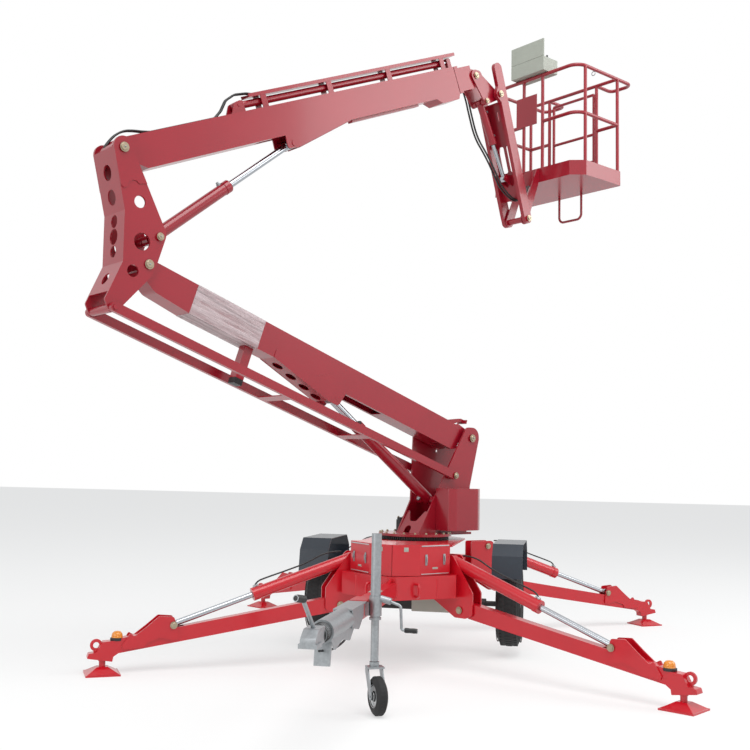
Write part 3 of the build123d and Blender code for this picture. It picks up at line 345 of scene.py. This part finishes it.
def arm_frame(name):
    """An outrigger's frame: X out along it, Y up, Z across it, origin on the ground."""
    joint = JOINTS["outrigger_" + name]
    across = Vector(joint["axis"])
    out = across.cross(UPRIGHT)
    foot = Vector((*joint["pos_m"][:2], 0))
    return Matrix.Translation(foot) @ Matrix((out, UPRIGHT, out.cross(UPRIGHT))).transposed().to_4x4()


# ------------------------------------------------------------------ shapes
def turned(bm, frame_at, profile, steps):
    """Spin a line of (radius, height) points about a frame's Z."""
    axis = frame_at.to_3x3() @ Vector((0, 0, 1))
    line = [bm.verts.new(frame_at @ Vector((radius, 0, height))) for radius, height in profile]
    edges = [bm.edges.new(pair) for pair in zip(line, line[1:])]
    bmesh.ops.spin(bm, geom=line + edges, cent=frame_at.translation, axis=axis, angle=math.tau, steps=steps,
                   use_merge=True)
    bmesh.ops.remove_doubles(bm, verts=bm.verts[:], dist=1e-6)


def ease(bm, verts, offset):
    """Round off every edge of a new shape."""
    edges = {edge for vert in verts for edge in vert.link_edges}
    bmesh.ops.bevel(bm, geom=list(edges), offset=offset, segments=2, profile=0.5, affect="EDGES", material=-1)


def block(bm, frame_at, low, high, bevel):
    """A block with eased edges between two corners of a frame."""
    low, high = Vector(low), Vector(high)
    matrix = frame_at @ Matrix.Translation((low + high) / 2) @ Matrix.Diagonal((*(high - low), 1))
    made = bmesh.ops.create_cube(bm, size=1, matrix=matrix)
    ease(bm, made["verts"], bevel)


def hexagon(bm, frame_at, radius, height):
    """A bolt's head on its washer."""
    turned(bm, frame_at, [(0, 0), (radius * 1.35, 0), (radius * 1.35, height * 0.22), (0, height * 0.22)], 20)
    made = bmesh.ops.create_cone(bm, cap_ends=True, segments=6, radius1=radius, radius2=radius * 0.97,
                                 depth=height, matrix=frame_at @ Matrix.Translation((0, 0, height * 0.7)))
    ease(bm, made["verts"], radius * 0.08)


def centreline(name, points):
    """Points along a smooth line that a route of control points gives."""
    curve = bpy.data.curves.new(name, "CURVE")
    curve.dimensions = "3D"
    curve.resolution_u = 10
    spline = curve.splines.new("NURBS")
    spline.points.add(len(points) - 1)
    for knot, place in zip(spline.points, points):
        knot.co = (*place, 1)
    spline.order_u = 3
    spline.use_endpoint_u = True
    holder = bpy.data.objects.new(name, curve)
    bpy.context.scene.collection.objects.link(holder)
    bpy.context.view_layer.update()
    mesh = bpy.data.meshes.new_from_object(holder)
    line = [vert.co.copy() for vert in mesh.vertices]
    bpy.data.objects.remove(holder)
    bpy.data.meshes.remove(mesh)
    return line


def tube_along(bm, line, radius):
    """A round tube through the points of a line, closed at both ends."""
    made = bmesh.ops.create_circle(bm, cap_ends=True, segments=TUBE_SIDES, radius=radius,
                                   matrix=seat(line[0], line[1] - line[0], steady(line[1] - line[0])))
    ring = made["verts"]
    face = ring[0].link_faces[0]
    for index in range(1, len(line)):
        ahead = line[min(index + 1, len(line) - 1)] - line[index - 1]
        grown = bmesh.ops.extrude_face_region(bm, geom=[face])["geom"]
        if index > 1:
            bmesh.ops.delete(bm, geom=[face], context="FACES_ONLY")
        face = next(item for item in grown if isinstance(item, bmesh.types.BMFace))
        verts = face.verts[:]
        middle = middle_of(verts)
        turn = face_normal(verts).rotation_difference(ahead.normalized()).to_matrix()
        for vert in verts:
            vert.co = line[index] + turn @ (vert.co - middle)


def steady(direction):
    """A direction that isn't along another one."""
    return UPRIGHT if abs(direction.normalized().z) < 0.9 else AWAY


def middle_of(verts):
    return sum((vert.co for vert in verts), Vector()) / len(verts)


def face_normal(verts):
    middle = middle_of(verts)
    return (verts[0].co - middle).cross(verts[len(verts) // 4].co - middle).normalized()


def hose(name, points, radius, body, other=None):
    """A hydraulic hose on a body, or bent between two."""
    bm = bmesh.new()
    tube_along(bm, centreline(name, points), radius)
    piece = finish_piece(name, bm, hose_rubber(), None if other else body, 60)
    if other:
        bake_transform(piece)


# ------------------------------------------------------------------ operators
class LIFT_OT_finishes(bpy.types.Operator):
    """Give every frame node its finish"""
    bl_idname = "lift.finishes"
    bl_label = "Frame finishes"

    def execute(self, context):
        finishes = {
            "red_paint": red_enamel(), "tyre": tyre_rubber(), "rim": rim_steel(),
            "galvanised": galvanised_steel(), "dark_steel": dark_steel(), "box_grey": grey_cabinet(),
            "dark_plastic": moulded_fender(),
            "film": stretch_film(), "chrome": hard_chrome(), "rubber": hose_rubber(),
        }
        deep = {node for body in BOOM_BODIES for node in frame["record"]["behaviour"]["bodies"][body]}
        for part in frame["record"]["subparts"]:
            node = frame["nodes"].get(part["node"])
            if node is None:
                raise RuntimeError(f"no frame node {part['node']}")
            finish = finishes[part["material_slot"]]
            if part["material_slot"] == "red_paint" and part["node"] in deep:
                finish = boom_enamel()
            if node.material_slots:
                for slot in node.material_slots:
                    slot.material = finish
            else:
                node.data.materials.append(finish)
        return {"FINISHED"}


class LIFT_OT_tread(bpy.types.Operator):
    """Tread blocks and side ribs of the tyres, and the wheels' nuts and hub caps"""
    bl_idname = "lift.tread"
    bl_label = "Tyres and wheels"

    def execute(self, context):
        count = settings()[1].tread
        for side, word in SIDES:
            hub = seat(pose_of("wheel_" + word), (side, 0, 0))
            low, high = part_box("tyre_" + word)
            radius, half = (high[2] - low[2]) / 2, (high[0] - low[0]) / 2
            bm = bmesh.new()
            for index in range(count):
                turn = Matrix.Rotation(math.tau * index / count, 4, "Z")
                for start, end, slip in ((-0.72, -0.30, 0.0), (-0.24, 0.24, 0.5), (0.30, 0.72, 0.0)):
                    shift = Matrix.Rotation(math.tau * slip / count, 4, "Z")
                    proud = radius + (0.003 if slip else 0.0)
                    block(bm, hub @ turn @ shift, (proud - 0.02, -0.014, start * half),
                          (proud, 0.014, end * half), 0.0015)
            for reach in (0.270, 0.300, 0.330):
                for level in (-1, 1):
                    foot, crest = level * (half - 0.006), level * (half + 0.0015)
                    turned(bm, hub, [(reach, foot), (reach + 0.004, crest), (reach + 0.008, foot),
                                     (reach, foot)], 72)
            finish_piece("tread_" + word, bm, tyre_rubber(), "wheel_" + word, 30)
            bm = bmesh.new()
            turned(bm, hub, [(0, 0.095), (0.030, 0.095), (0.036, 0.088), (0.038, 0.040), (0.046, 0.034),
                             (0.046, 0.028), (0, 0.028)], 32)
            for index in range(WHEEL_NUTS):
                angle = math.tau * index / WHEEL_NUTS
                spot = hub @ Matrix.Translation((WHEEL_NUT_CIRCLE * math.cos(angle),
                                                 WHEEL_NUT_CIRCLE * math.sin(angle), 0.034))
                hexagon(bm, spot, 0.0085, 0.014)
            finish_piece("hub_cap_" + word, bm, galvanised_steel(), "wheel_" + word, 30)
        return {"FINISHED"}


class LIFT_OT_pins(bpy.types.Operator):
    """Heads, washers and grease nipples of the pins"""
    bl_idname = "lift.pins"
    bl_label = "Pin heads"

    def execute(self, context):
        hardware = settings()[1]
        pins = (
            # joint whose pin it is, body that holds it, how far out it stands, size
            ("lower_boom", "turret", 0.1625, 1.15), ("tie_bars", "turret", 0.2245, 0.9),
            ("lower_lift_barrel", "turret", 0.1515, 0.95), ("knuckle", "knuckle", 0.1755, 1.15),
            ("upper_boom", "knuckle", 0.1825, 1.15), ("upper_lift_barrel", "knuckle", 0.1825, 0.95),
            ("boom_head", "boom_head", 0.1045, 1.0), ("jib", "boom_head", 0.1725, 1.0),
            ("jib_lift_barrel", "boom_head", 0.1045, 0.8), ("cage_level", "jib", 0.1745, 1.0),
        )
        shine, nipple = passivated_steel(), galvanised_steel()
        for joint, body, reach, scale in pins:
            for side, word in BOOM_SIDES:
                spot = seat(pose_of(joint) + ACROSS * side * reach, ACROSS * side)
                radius = hardware.head * scale
                bm = bmesh.new()
                turned(bm, spot, [(0, -0.001), (radius * 1.35, -0.001), (radius * 1.35, hardware.washer),
                                  (radius * 1.05, hardware.washer), (radius, hardware.washer + 0.001),
                                  (radius, hardware.washer + 0.007), (radius * 0.9, hardware.washer + 0.010),
                                  (0, hardware.washer + 0.010)], 32)
                finish_piece(f"pin_head_{joint}_{word}", bm, shine, body, 30)
                bm = bmesh.new()
                turned(bm, spot @ Matrix.Translation((0, 0, hardware.washer + 0.009)),
                       [(0, 0), (0.006, 0), (0.006, 0.004), (0.0035, 0.006), (0.0035, 0.012), (0, 0.014)], 12)
                finish_piece(f"grease_nipple_{joint}_{word}", bm, nipple, body, 30)
        for name in ARMS:
            place = arm_frame(name)
            for word, spot, body, reach in (
                ("root", (0, 0.505), "chassis", 0.074), ("barrel", (-0.134, 0.905), "chassis", 0.074),
                ("rod", (1.419, 0.375), "outrigger_" + name, 0.065),
            ):
                bm = bmesh.new()
                for side in (1, -1):
                    turned(bm, place @ seat(Vector((*spot, side * reach)), (0, 0, side), (0, 1, 0)), [
                        (0, -0.001), (0.030, -0.001), (0.030, 0.004), (0.021, 0.004), (0.021, 0.010),
                        (0.018, 0.012), (0, 0.012)], 28)
                finish_piece(f"outrigger_{word}_pin_{name}", bm, shine, body, 30)
        return {"FINISHED"}


class LIFT_OT_slew(bpy.types.Operator):
    """Gear teeth and bolts of the slew ring, and the bolts of the slew motor"""
    bl_idname = "lift.slew"
    bl_label = "Slew ring"

    def execute(self, context):
        low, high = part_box("slew_ring")
        centre = Vector((*pose_of("slew")[:2], low[2]))
        bm = bmesh.new()
        for index in range(SLEW_TEETH):
            turn = Matrix.Rotation(math.tau * index / SLEW_TEETH, 4, "Z")
            block(bm, Matrix.Translation(centre) @ turn, (0.298, -0.0055, 0.004), (0.314, 0.0055, 0.031),
                  0.0012)
        finish_piece("slew_teeth", bm, dark_steel(), "chassis", 30)
        bm = bmesh.new()
        for index in range(SLEW_BOLTS):
            angle = math.tau * (index + 0.5) / SLEW_BOLTS
            spot = Vector((0.325 * math.cos(angle), 0.325 * math.sin(angle), 0))
            hexagon(bm, Matrix.Translation(Vector((*centre[:2], high[2] + 0.024)) + spot), 0.0105, 0.012)
        finish_piece("slew_bolts", bm, passivated_steel(), "turret", 30)
        low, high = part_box("slew_motor")
        bm = bmesh.new()
        for x, y in ((1, 1), (1, -1), (-1, 1), (-1, -1)):
            spot = ((low[0] + high[0]) / 2 + x * 0.022, (low[1] + high[1]) / 2 + y * 0.022, high[2])
            hexagon(bm, Matrix.Translation(spot), 0.006, 0.009)
        finish_piece("slew_motor_bolts", bm, passivated_steel(), "turret", 30)
        return {"FINISHED"}


class LIFT_OT_housings(bpy.types.Operator):
    """Latches, strips and blank plates of the two housings"""
    bl_idname = "lift.housings"
    bl_label = "Housing fittings"

    def execute(self, context):
        for side, word in SIDES:
            low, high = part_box("housing_" + word)
            # two slanted panels: the nose, out from the middle, and the door that goes on from its corner
            start = Vector((side * 0.002, SLEW.y - 1.215, 0))
            end = Vector((side * 0.212, SLEW.y - 1.085, 0))
            out = Vector((side * (end.y - start.y), -abs(end.x - start.x), 0)).normalized()
            door = Vector((side * 0.432, SLEW.y - 0.830, 0))
            face = (door - end).normalized()
            normal = Vector((side * abs(face.y), -abs(face.x), 0)).normalized()
            panel = seat(end + (door - end) * 0.5 + UPRIGHT * (low[2] + high[2]) / 2, normal)
            bm = bmesh.new()
            for x in (-0.100, 0.100):
                block(bm, panel, (x - 0.012, -0.045, 0), (x + 0.012, 0.045, 0.006), 0.004)
                block(bm, panel, (x - 0.006, -0.020, 0.005), (x + 0.006, 0.028, 0.016), 0.003)
            finish_piece("door_latches_" + word, bm, galvanised_steel(), "chassis", 30)
            bm = bmesh.new()
            block(bm, panel, (-0.152, 0.110, -0.001), (0.152, 0.119, 0.004), 0.001)
            block(bm, panel, (-0.152, -0.119, -0.001), (0.152, -0.112, 0.003), 0.001)
            finish_piece("door_strip_" + word, bm, rim_steel(), "chassis", 30)
            bm = bmesh.new()
            block(bm, panel, (-0.030, -0.078, -0.001), (0.030, -0.062, 0.0015), 0.0005)
            nose = seat(start + (end - start) * 0.5 + UPRIGHT * (low[2] + high[2]) / 2, out)
            block(bm, nose, (-0.020, 0.070, -0.001), (0.020, 0.105, 0.0015), 0.0005)
            finish_piece("blank_plates_" + word, bm, grey_cabinet(), "chassis", 30)
        return {"FINISHED"}


class LIFT_OT_beacons(bpy.types.Operator):
    """Amber warning lamps on the front outriggers"""
    bl_idname = "lift.beacons"
    bl_label = "Beacons"

    def execute(self, context):
        for name in ("front_right", "front_left"):
            place = arm_frame(name)
            spot = place @ seat(Vector((1.860, 0.262, 0)), (0, 1, 0), (1, 0, 0))
            bm = bmesh.new()
            turned(bm, spot, [(0, 0), (0.052, 0), (0.054, 0.006), (0.054, 0.018), (0.048, 0.022), (0, 0.022)],
                   36)
            finish_piece("beacon_base_" + name, bm, dark_steel(), "outrigger_" + name, 30)
            bm = bmesh.new()
            turned(bm, spot, [(0, 0.021), (0.045, 0.021), (0.046, 0.030), (0.043, 0.034), (0.045, 0.038),
                              (0.042, 0.043), (0.043, 0.047), (0.038, 0.058), (0.026, 0.070), (0, 0.075)], 36)
            finish_piece("beacon_lens_" + name, bm, amber_lens(), "outrigger_" + name, 50)
        return {"FINISHED"}


class LIFT_OT_hoses(bpy.types.Operator):
    """Hydraulic hoses of the outriggers, the elbow, the jib and the cage"""
    bl_idname = "lift.hoses"
    bl_label = "Hydraulic hoses"

    def execute(self, context):
        radius = settings()[1].hose / 2
        for name in ARMS:
            place = arm_frame(name)
            route = [place @ Vector((x, z, 0)) for x, z in (
                (-0.020, 0.955), (0.110, 0.957), (0.291, 0.858), (0.467, 0.797), (0.638, 0.742),
                (0.730, 0.708), (0.742, 0.668))]
            hose("barrel_hose_" + name, route, radius * 0.8, f"outrigger_{name}_barrel")
            lean = (route[-1] - route[-3]).normalized()
            bm = bmesh.new()
            turned(bm, seat(route[-1], lean, steady(lean)), [
                (0, -0.030), (0.010, -0.030), (0.011, -0.008), (0.014, -0.006), (0.014, 0.012),
                (0, 0.013)], 16)
            finish_piece("barrel_hose_nut_" + name, bm, galvanised_steel(), f"outrigger_{name}_barrel",
                         30)
        elbow = along(pose_of("upper_boom"), UPPER_RISE)
        for lane, word in ((-0.070, "near"), (-0.045, "far")):
            route = [elbow @ Vector((x, y, lane)) for x, y in (
                (-0.066, -0.060), (-0.050, 0.040), (0.036, 0.100), (0.102, 0.132), (0.180, 0.146),
                (0.261, 0.131), (0.340, 0.107), (0.400, 0.096))]
            hose("elbow_hose_" + word, route, radius, "knuckle", "upper_boom")
        for lane, word in ((0.0, "a"), (0.034, "b")):
            upper = [in_boom(u, z, w + lane) for u, w, z in (
                (0.700, -0.130, 5.560), (0.760, -0.150, 5.494), (0.800, -0.160, 5.403),
                (0.850, -0.165, 5.290))]
            hose("jib_hose_top_" + word, upper, radius * 1.1, "boom_head", "jib")
            lower = [in_boom(u, z, w + lane) for u, w, z in (
                (0.850, -0.165, 5.290), (0.905, -0.170, 5.150), (0.973, -0.080, 4.950),
                (1.040, -0.040, 4.800), (1.130, -0.020, 4.640))]
            hose("jib_hose_" + word, lower, radius * 1.1, "jib")
            foot = [in_boom(u, z, w + lane) for u, w, z in (
                (1.130, -0.020, 4.640), (1.200, 0.000, 4.560), (1.330, 0.020, 4.500), (1.450, 0.020, 4.560),
                (1.515, 0.020, 4.700))]
            hose("cage_hose_" + word, foot, radius * 1.1, "jib", "cage")
        return {"FINISHED"}


class LIFT_OT_controls(bpy.types.Operator):
    """Levers, stop button and blank plate of the cage's control box"""
    bl_idname = "lift.controls"
    bl_label = "Cage controls"

    def execute(self, context):
        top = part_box("control_box")[1][2]
        spot = in_boom(1.690, top, -0.016)
        desk = seat(spot, UPRIGHT, AWAY)
        bm = bmesh.new()
        for x in (-0.150, -0.075, 0.0, 0.075, 0.150):
            turned(bm, desk @ Matrix.Translation((x, 0.02, 0)), [
                (0, 0), (0.016, 0), (0.016, 0.003), (0.012, 0.006), (0.013, 0.010), (0.009, 0.014),
                (0.004, 0.018), (0.004, 0.045), (0.010, 0.050), (0.011, 0.060), (0.008, 0.067),
                (0, 0.069)], 20)
        finish_piece("control_levers", bm, dark_steel(), "cage", 50)
        bm = bmesh.new()
        turned(bm, desk @ Matrix.Translation((-0.190, -0.055, 0)), [
            (0, 0), (0.014, 0), (0.014, 0.012), (0.020, 0.016), (0.021, 0.022), (0.016, 0.028),
            (0, 0.031)], 28)
        finish_piece("stop_button", bm, red_enamel(), "cage", 50)
        bm = bmesh.new()
        block(bm, desk, (-0.150, -0.080, -0.0005), (0.190, -0.045, 0.0015), 0.0005)
        finish_piece("blank_desk_plate", bm, rim_steel(), "cage", 30)
        return {"FINISHED"}


class LIFT_OT_cage_trim(bpy.types.Operator):
    """Tread studs of the cage's floor, the gate's latch, and the lanyard rings"""
    bl_idname = "lift.cage_trim"
    bl_label = "Cage trim"

    def execute(self, context):
        bm = bmesh.new()
        for row in range(STUD_ROWS):
            for column in range(STUD_COLUMNS):
                u = 1.690 + row * STUD_PITCH
                w = -0.575 + column * STUD_PITCH + (STUD_PITCH / 2 if row % 2 else 0)
                place = in_boom(u, CAGE_FLOOR_TOP, w)
                spot = seat(place, UPRIGHT, AWAY if (row + column) % 2 else ACROSS)
                bmesh.ops.create_cone(bm, cap_ends=True, segments=6, radius1=0.010, radius2=0.006,
                                      depth=0.002, matrix=spot @ Matrix.Diagonal((0.45, 1.4, 1, 1)))
        finish_piece("floor_studs", bm, red_enamel(), "cage", 30)
        bm = bmesh.new()
        spot = seat(in_boom(2.335, 5.620, 0.280), ACROSS)
        turned(bm, spot, [(0, -0.012), (0.012, -0.012), (0.012, 0.030), (0.009, 0.034), (0, 0.034)], 20)
        finish_piece("gate_latch", bm, galvanised_steel(), "cage_gate", 30)
        for side, word in BOOM_SIDES:
            bm = bmesh.new()
            ring = seat(in_boom(1.900, 5.880, side * 0.606), AWAY)
            turned(bm, ring, [(0.022 + 0.004 * math.cos(math.tau * k / 8), 0.004 * math.sin(math.tau * k / 8))
                              for k in range(9)], 28)
            finish_piece("lanyard_ring_" + word, bm, galvanised_steel(), "cage", 50)
        return {"FINISHED"}


class LIFT_OT_tow_trim(bpy.types.Operator):
    """Brake rod, bellows, hand brake, grips and blank plate of the drawbar, and the jockey wheel's tread"""
    bl_idname = "lift.tow_trim"
    bl_label = "Drawbar fittings"

    def execute(self, context):
        coupling_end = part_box("coupling")[0][1]
        bm = bmesh.new()
        tube_along(bm, centreline("brake rod", [Vector((0.0, coupling_end + y, z)) for y, z in (
            (0.34, 0.600), (0.60, 0.560), (0.85, 0.545), (1.10, 0.560), (1.40, 0.630))]), 0.007)
        finish_piece("brake_rod", bm, dark_steel(), "chassis", 40)
        bm = bmesh.new()
        folds = [(0.0, 0.0), (0.0505, 0.0)]
        for fold in range(BELLOWS_FOLDS):
            start = fold * BELLOWS_PITCH
            folds += [(0.0515, 0.004 + start), (0.0605, 0.0145 + start), (0.0515, 0.0225 + start)]
        folds += [(0.0505, 0.135), (0.0, 0.135)]
        turned(bm, seat(Vector((0, SLEW.y - 3.690, 0.700)), (0, 1, 0)), folds, 40)
        finish_piece("overrun_bellows", bm, hose_rubber(), "chassis", 30)
        bm = bmesh.new()
        spin = Vector(JOINTS["jockey_spin"]["axis"])
        for side in (1, -1):
            turned(bm, seat(pose_of("jockey_spin") + spin * side * 0.020, spin * side), [
                (0.008, 0.004), (0.030, 0.020), (0.034, 0.006), (0.060, 0.003), (0.074, 0.016),
                (0.080, 0.016), (0.080, 0.010), (0.062, 0.000), (0.034, 0.000), (0.008, 0.004)], 40)
        finish_piece("jockey_hub", bm, rim_steel(), "jockey_wheel", 30)
        bm = bmesh.new()
        for index in range(JOCKEY_TREAD_BLOCKS):
            turn = Matrix.Rotation(math.tau * index / JOCKEY_TREAD_BLOCKS, 4, "Z")
            for side in (1, -1):
                block(bm, seat(pose_of("jockey_spin"), spin) @ turn, (0.119, -0.008, 0.020 * side),
                      (0.1305, 0.008, 0.004 * side), 0.001)
        finish_piece("jockey_tread", bm, tyre_rubber(), "jockey_wheel", 30)
        bm = bmesh.new()
        grip = seat(Vector((-0.031, SLEW.y - 3.890, 0.928)), Vector((-0.029, -0.070, 0.012)))
        turned(bm, grip, [(0, -0.004), (0.021, -0.004), (0.0225, 0.010), (0.0205, 0.018), (0.0225, 0.026),
                          (0.0205, 0.034), (0.0225, 0.042), (0.0205, 0.050), (0.0225, 0.058), (0.020, 0.076),
                          (0, 0.079)], 28)
        finish_piece("lever_grip", bm, hose_rubber(), "chassis", 50)
        bm = bmesh.new()
        crank = seat(Vector((pose_of("jockey_swivel").x + 0.218, SLEW.y - 2.490, 0.570)), (1, 0, -0.02))
        turned(bm, crank, [(0, -0.008), (0.0165, -0.008), (0.018, 0.004), (0.0165, 0.030), (0.018, 0.060),
                           (0.016, 0.080), (0, 0.083)], 24)
        finish_piece("crank_grip", bm, hose_rubber(), "chassis", 50)
        bm = bmesh.new()
        brake = seat(Vector((0.066, SLEW.y - 2.200, 0.755)), (1, 0, 0))
        turned(bm, brake, [(0, 0), (0.055, 0), (0.058, 0.004), (0.058, 0.010), (0.018, 0.012), (0.018, 0.020),
                           (0, 0.022)], 36)
        finish_piece("brake_quadrant", bm, passivated_steel(), "chassis", 30)
        bm = bmesh.new()
        tube_along(bm, centreline("brake lever", [Vector((0.080, SLEW.y + y, z)) for y, z in (
            (-2.200, 0.755), (-2.215, 0.860), (-2.235, 0.960), (-2.260, 1.060))]), 0.010)
        finish_piece("brake_lever", bm, galvanised_steel(), "chassis", 40)
        bm = bmesh.new()
        block(bm, Matrix.Translation((0, SLEW.y - 1.9, 0.757)), (-0.045, -0.060, -0.002),
              (0.045, 0.060, 0.0015), 0.0005)
        finish_piece("blank_drawbar_plate", bm, grey_cabinet(), "chassis", 30)
        return {"FINISHED"}


class LIFT_OT_boom_trim(bpy.types.Operator):
    """Hose clips on the upper boom, and the wipers and ports of the three lift cylinders"""
    bl_idname = "lift.boom_trim"
    bl_label = "Boom trim"

    def execute(self, context):
        boom = along(pose_of("upper_boom"), UPPER_RISE)
        bm = bmesh.new()
        for x in (1.649, 2.392, 3.261):
            block(bm, boom, (x, 0.196, -0.046), (x + 0.030, 0.222, 0.010), 0.004)
        finish_piece("hose_clips", bm, rim_steel(), "upper_boom", 30)
        lifts = (
            # cylinder, 7 mm more than its barrel's radius, foot pin to gland, rod's radius
            ("lower_lift", 0.062, 1.118, 0.033),
            ("upper_lift", 0.057, 0.905, 0.030),
            ("jib_lift", 0.045, 0.440, 0.020),
        )
        for name, radius, reach, rod in lifts:
            slide = Vector(JOINTS[name + "_rod"]["axis"])
            foot = pose_of(name + "_barrel")
            bm = bmesh.new()
            gland = seat(foot + slide * reach, slide, steady(slide))
            turned(bm, gland, [(rod + 0.0015, -0.004), (radius * 0.9, -0.004), (radius * 0.9, 0.004),
                               (rod + 0.008, 0.006), (rod + 0.0015, 0.006), (rod + 0.0015, -0.004)], 36)
            finish_piece(name + "_wiper", bm, dark_steel(), name + "_barrel", 30)
            bm = bmesh.new()
            side = ACROSS.cross(slide)
            for along_barrel in (0.110, reach - 0.080):
                port = seat(foot + slide * along_barrel + side * (radius - 0.010), side, slide)
                turned(bm, port, [(0, 0), (0.018, 0), (0.018, 0.014), (0.013, 0.016), (0.013, 0.028),
                                  (0.010, 0.030), (0, 0.030)], 20)
            finish_piece(name + "_ports", bm, galvanised_steel(), name + "_barrel", 30)
        return {"FINISHED"}


class LIFT_OT_stage(bpy.types.Operator):
    """Set the floor, the world, the lights and the camera"""
    bl_idname = "lift.stage"
    bl_label = "Stage"

    def execute(self, context):
        colours, stage = settings()[0], settings()[2]
        scene = context.scene
        scene.view_settings.view_transform = "Standard"
        bm = bmesh.new()
        bmesh.ops.create_grid(bm, x_segments=1, y_segments=1, size=STAGE_HALF)
        mesh = bpy.data.meshes.new("floor")
        bm.to_mesh(mesh)
        bm.free()
        floor = bpy.data.objects.new("floor", mesh)
        scene.collection.objects.link(floor)
        finish, tree = material("pale_floor", tuple(colours.floor), 0.9)[:2]
        tree.nodes.clear()
        # the floor shows plain to the eye and to gloss, and still takes the shadow
        soft = add(tree, "ShaderNodeBsdfDiffuse", Color=(*colours.floor, 1))
        glow = add(tree, "ShaderNodeEmission", Color=(1, 1, 1, 1))
        share = add(tree, "ShaderNodeMath", {0: plain_rays(tree)}, operation="MULTIPLY")
        share.inputs[1].default_value = FLOOR_GLOW
        both = add(tree, "ShaderNodeMixShader", {"Fac": share.outputs[0], 1: soft.outputs[0],
                                                 2: glow.outputs[0]})
        add(tree, "ShaderNodeOutputMaterial", {"Surface": both.outputs[0]})
        mesh.materials.append(finish)

        world = bpy.data.worlds.new("studio")
        scene.world = world
        world.use_nodes = True
        tree = world.node_tree
        tree.nodes.clear()
        sky = add(tree, "ShaderNodeBackground", Color=(0.93, 0.96, 1.0, 1), Strength=0.55)
        white = add(tree, "ShaderNodeBackground", Color=(1, 1, 1, 1), Strength=1.0)
        blend = add(tree, "ShaderNodeMixShader", {"Fac": plain_rays(tree), 1: sky.outputs[0],
                                                  2: white.outputs[0]})
        add(tree, "ShaderNodeOutputWorld", {"Surface": blend.outputs[0]})

        for name, place, aim, power, width in (
            ("overhead", (3.0, -6.0, 14.0), (0, 0.5, 2.5), 1250.0, 10.0),
            ("front_fill", (-9.0, -12.0, 5.0), (0, 0, 2.5), 420.0, 8.0),
            ("right_rim", (11.0, 2.0, 8.0), (0, 0.5, 3.0), 420.0, 6.0),
        ):
            lamp = bpy.data.lights.new(name, "AREA")
            lamp.energy, lamp.size = power * stage.key, width
            holder = bpy.data.objects.new(name, lamp)
            scene.collection.objects.link(holder)
            holder.location = place
            holder.rotation_euler = (Vector(aim) - Vector(place)).to_track_quat("-Z", "Y").to_euler()

        camera = bpy.data.cameras.new("camera")
        camera.lens, camera.sensor_width = stage.lens, 36.0
        camera.clip_end = 200.0
        holder = bpy.data.objects.new("camera", camera)
        scene.collection.objects.link(holder)
        ahead = Vector((math.sin(stage.heading) * math.cos(stage.rise),
                        math.cos(stage.heading) * math.cos(stage.rise), math.sin(stage.rise)))
        right = Vector((math.cos(stage.heading), -math.sin(stage.heading), 0))
        up = right.cross(ahead)
        rolled_right = right * math.cos(stage.roll) + up * math.sin(stage.roll)
        rolled_up = up * math.cos(stage.roll) - right * math.sin(stage.roll)
        turn = Matrix((rolled_right, rolled_up, -ahead)).transposed()
        holder.matrix_world = Matrix.Translation(Vector(stage.eye)) @ turn.to_4x4()
        scene.camera = holder
        return {"FINISHED"}


class LIFT_PT_panel(bpy.types.Panel):
    """Settings and steps of the boom lift"""
    bl_idname = "LIFT_PT_panel"
    bl_label = "Boom lift"
    bl_space_type = "VIEW_3D"
    bl_region_type = "UI"
    bl_category = "Boom lift"

    def draw(self, context):
        for group in settings():
            for name in group.__annotations__:
                self.layout.prop(group, name)
        for step in STEPS:
            self.layout.operator(step.bl_idname)


STEPS = (LIFT_OT_stage, LIFT_OT_finishes, LIFT_OT_tread, LIFT_OT_pins, LIFT_OT_slew, LIFT_OT_housings,
         LIFT_OT_beacons, LIFT_OT_hoses, LIFT_OT_controls, LIFT_OT_cage_trim, LIFT_OT_tow_trim,
         LIFT_OT_boom_trim)
CLASSES = (LiftColours, LiftHardware, LiftStage, *STEPS, LIFT_PT_panel)


def register():
    for cls in CLASSES:
        bpy.utils.register_class(cls)
    bpy.types.Scene.lift_colours = PointerProperty(type=LiftColours)
    bpy.types.Scene.lift_hardware = PointerProperty(type=LiftHardware)
    bpy.types.Scene.lift_stage = PointerProperty(type=LiftStage)


def unregister():
    del bpy.types.Scene.lift_colours, bpy.types.Scene.lift_hardware, bpy.types.Scene.lift_stage
    for cls in reversed(CLASSES):
        bpy.utils.unregister_class(cls)


def main():
    register()
    for step in STEPS:
        area, name = step.bl_idname.split(".")
        getattr(getattr(bpy.ops, area), name)()


if __name__ == "__main__":
    main()
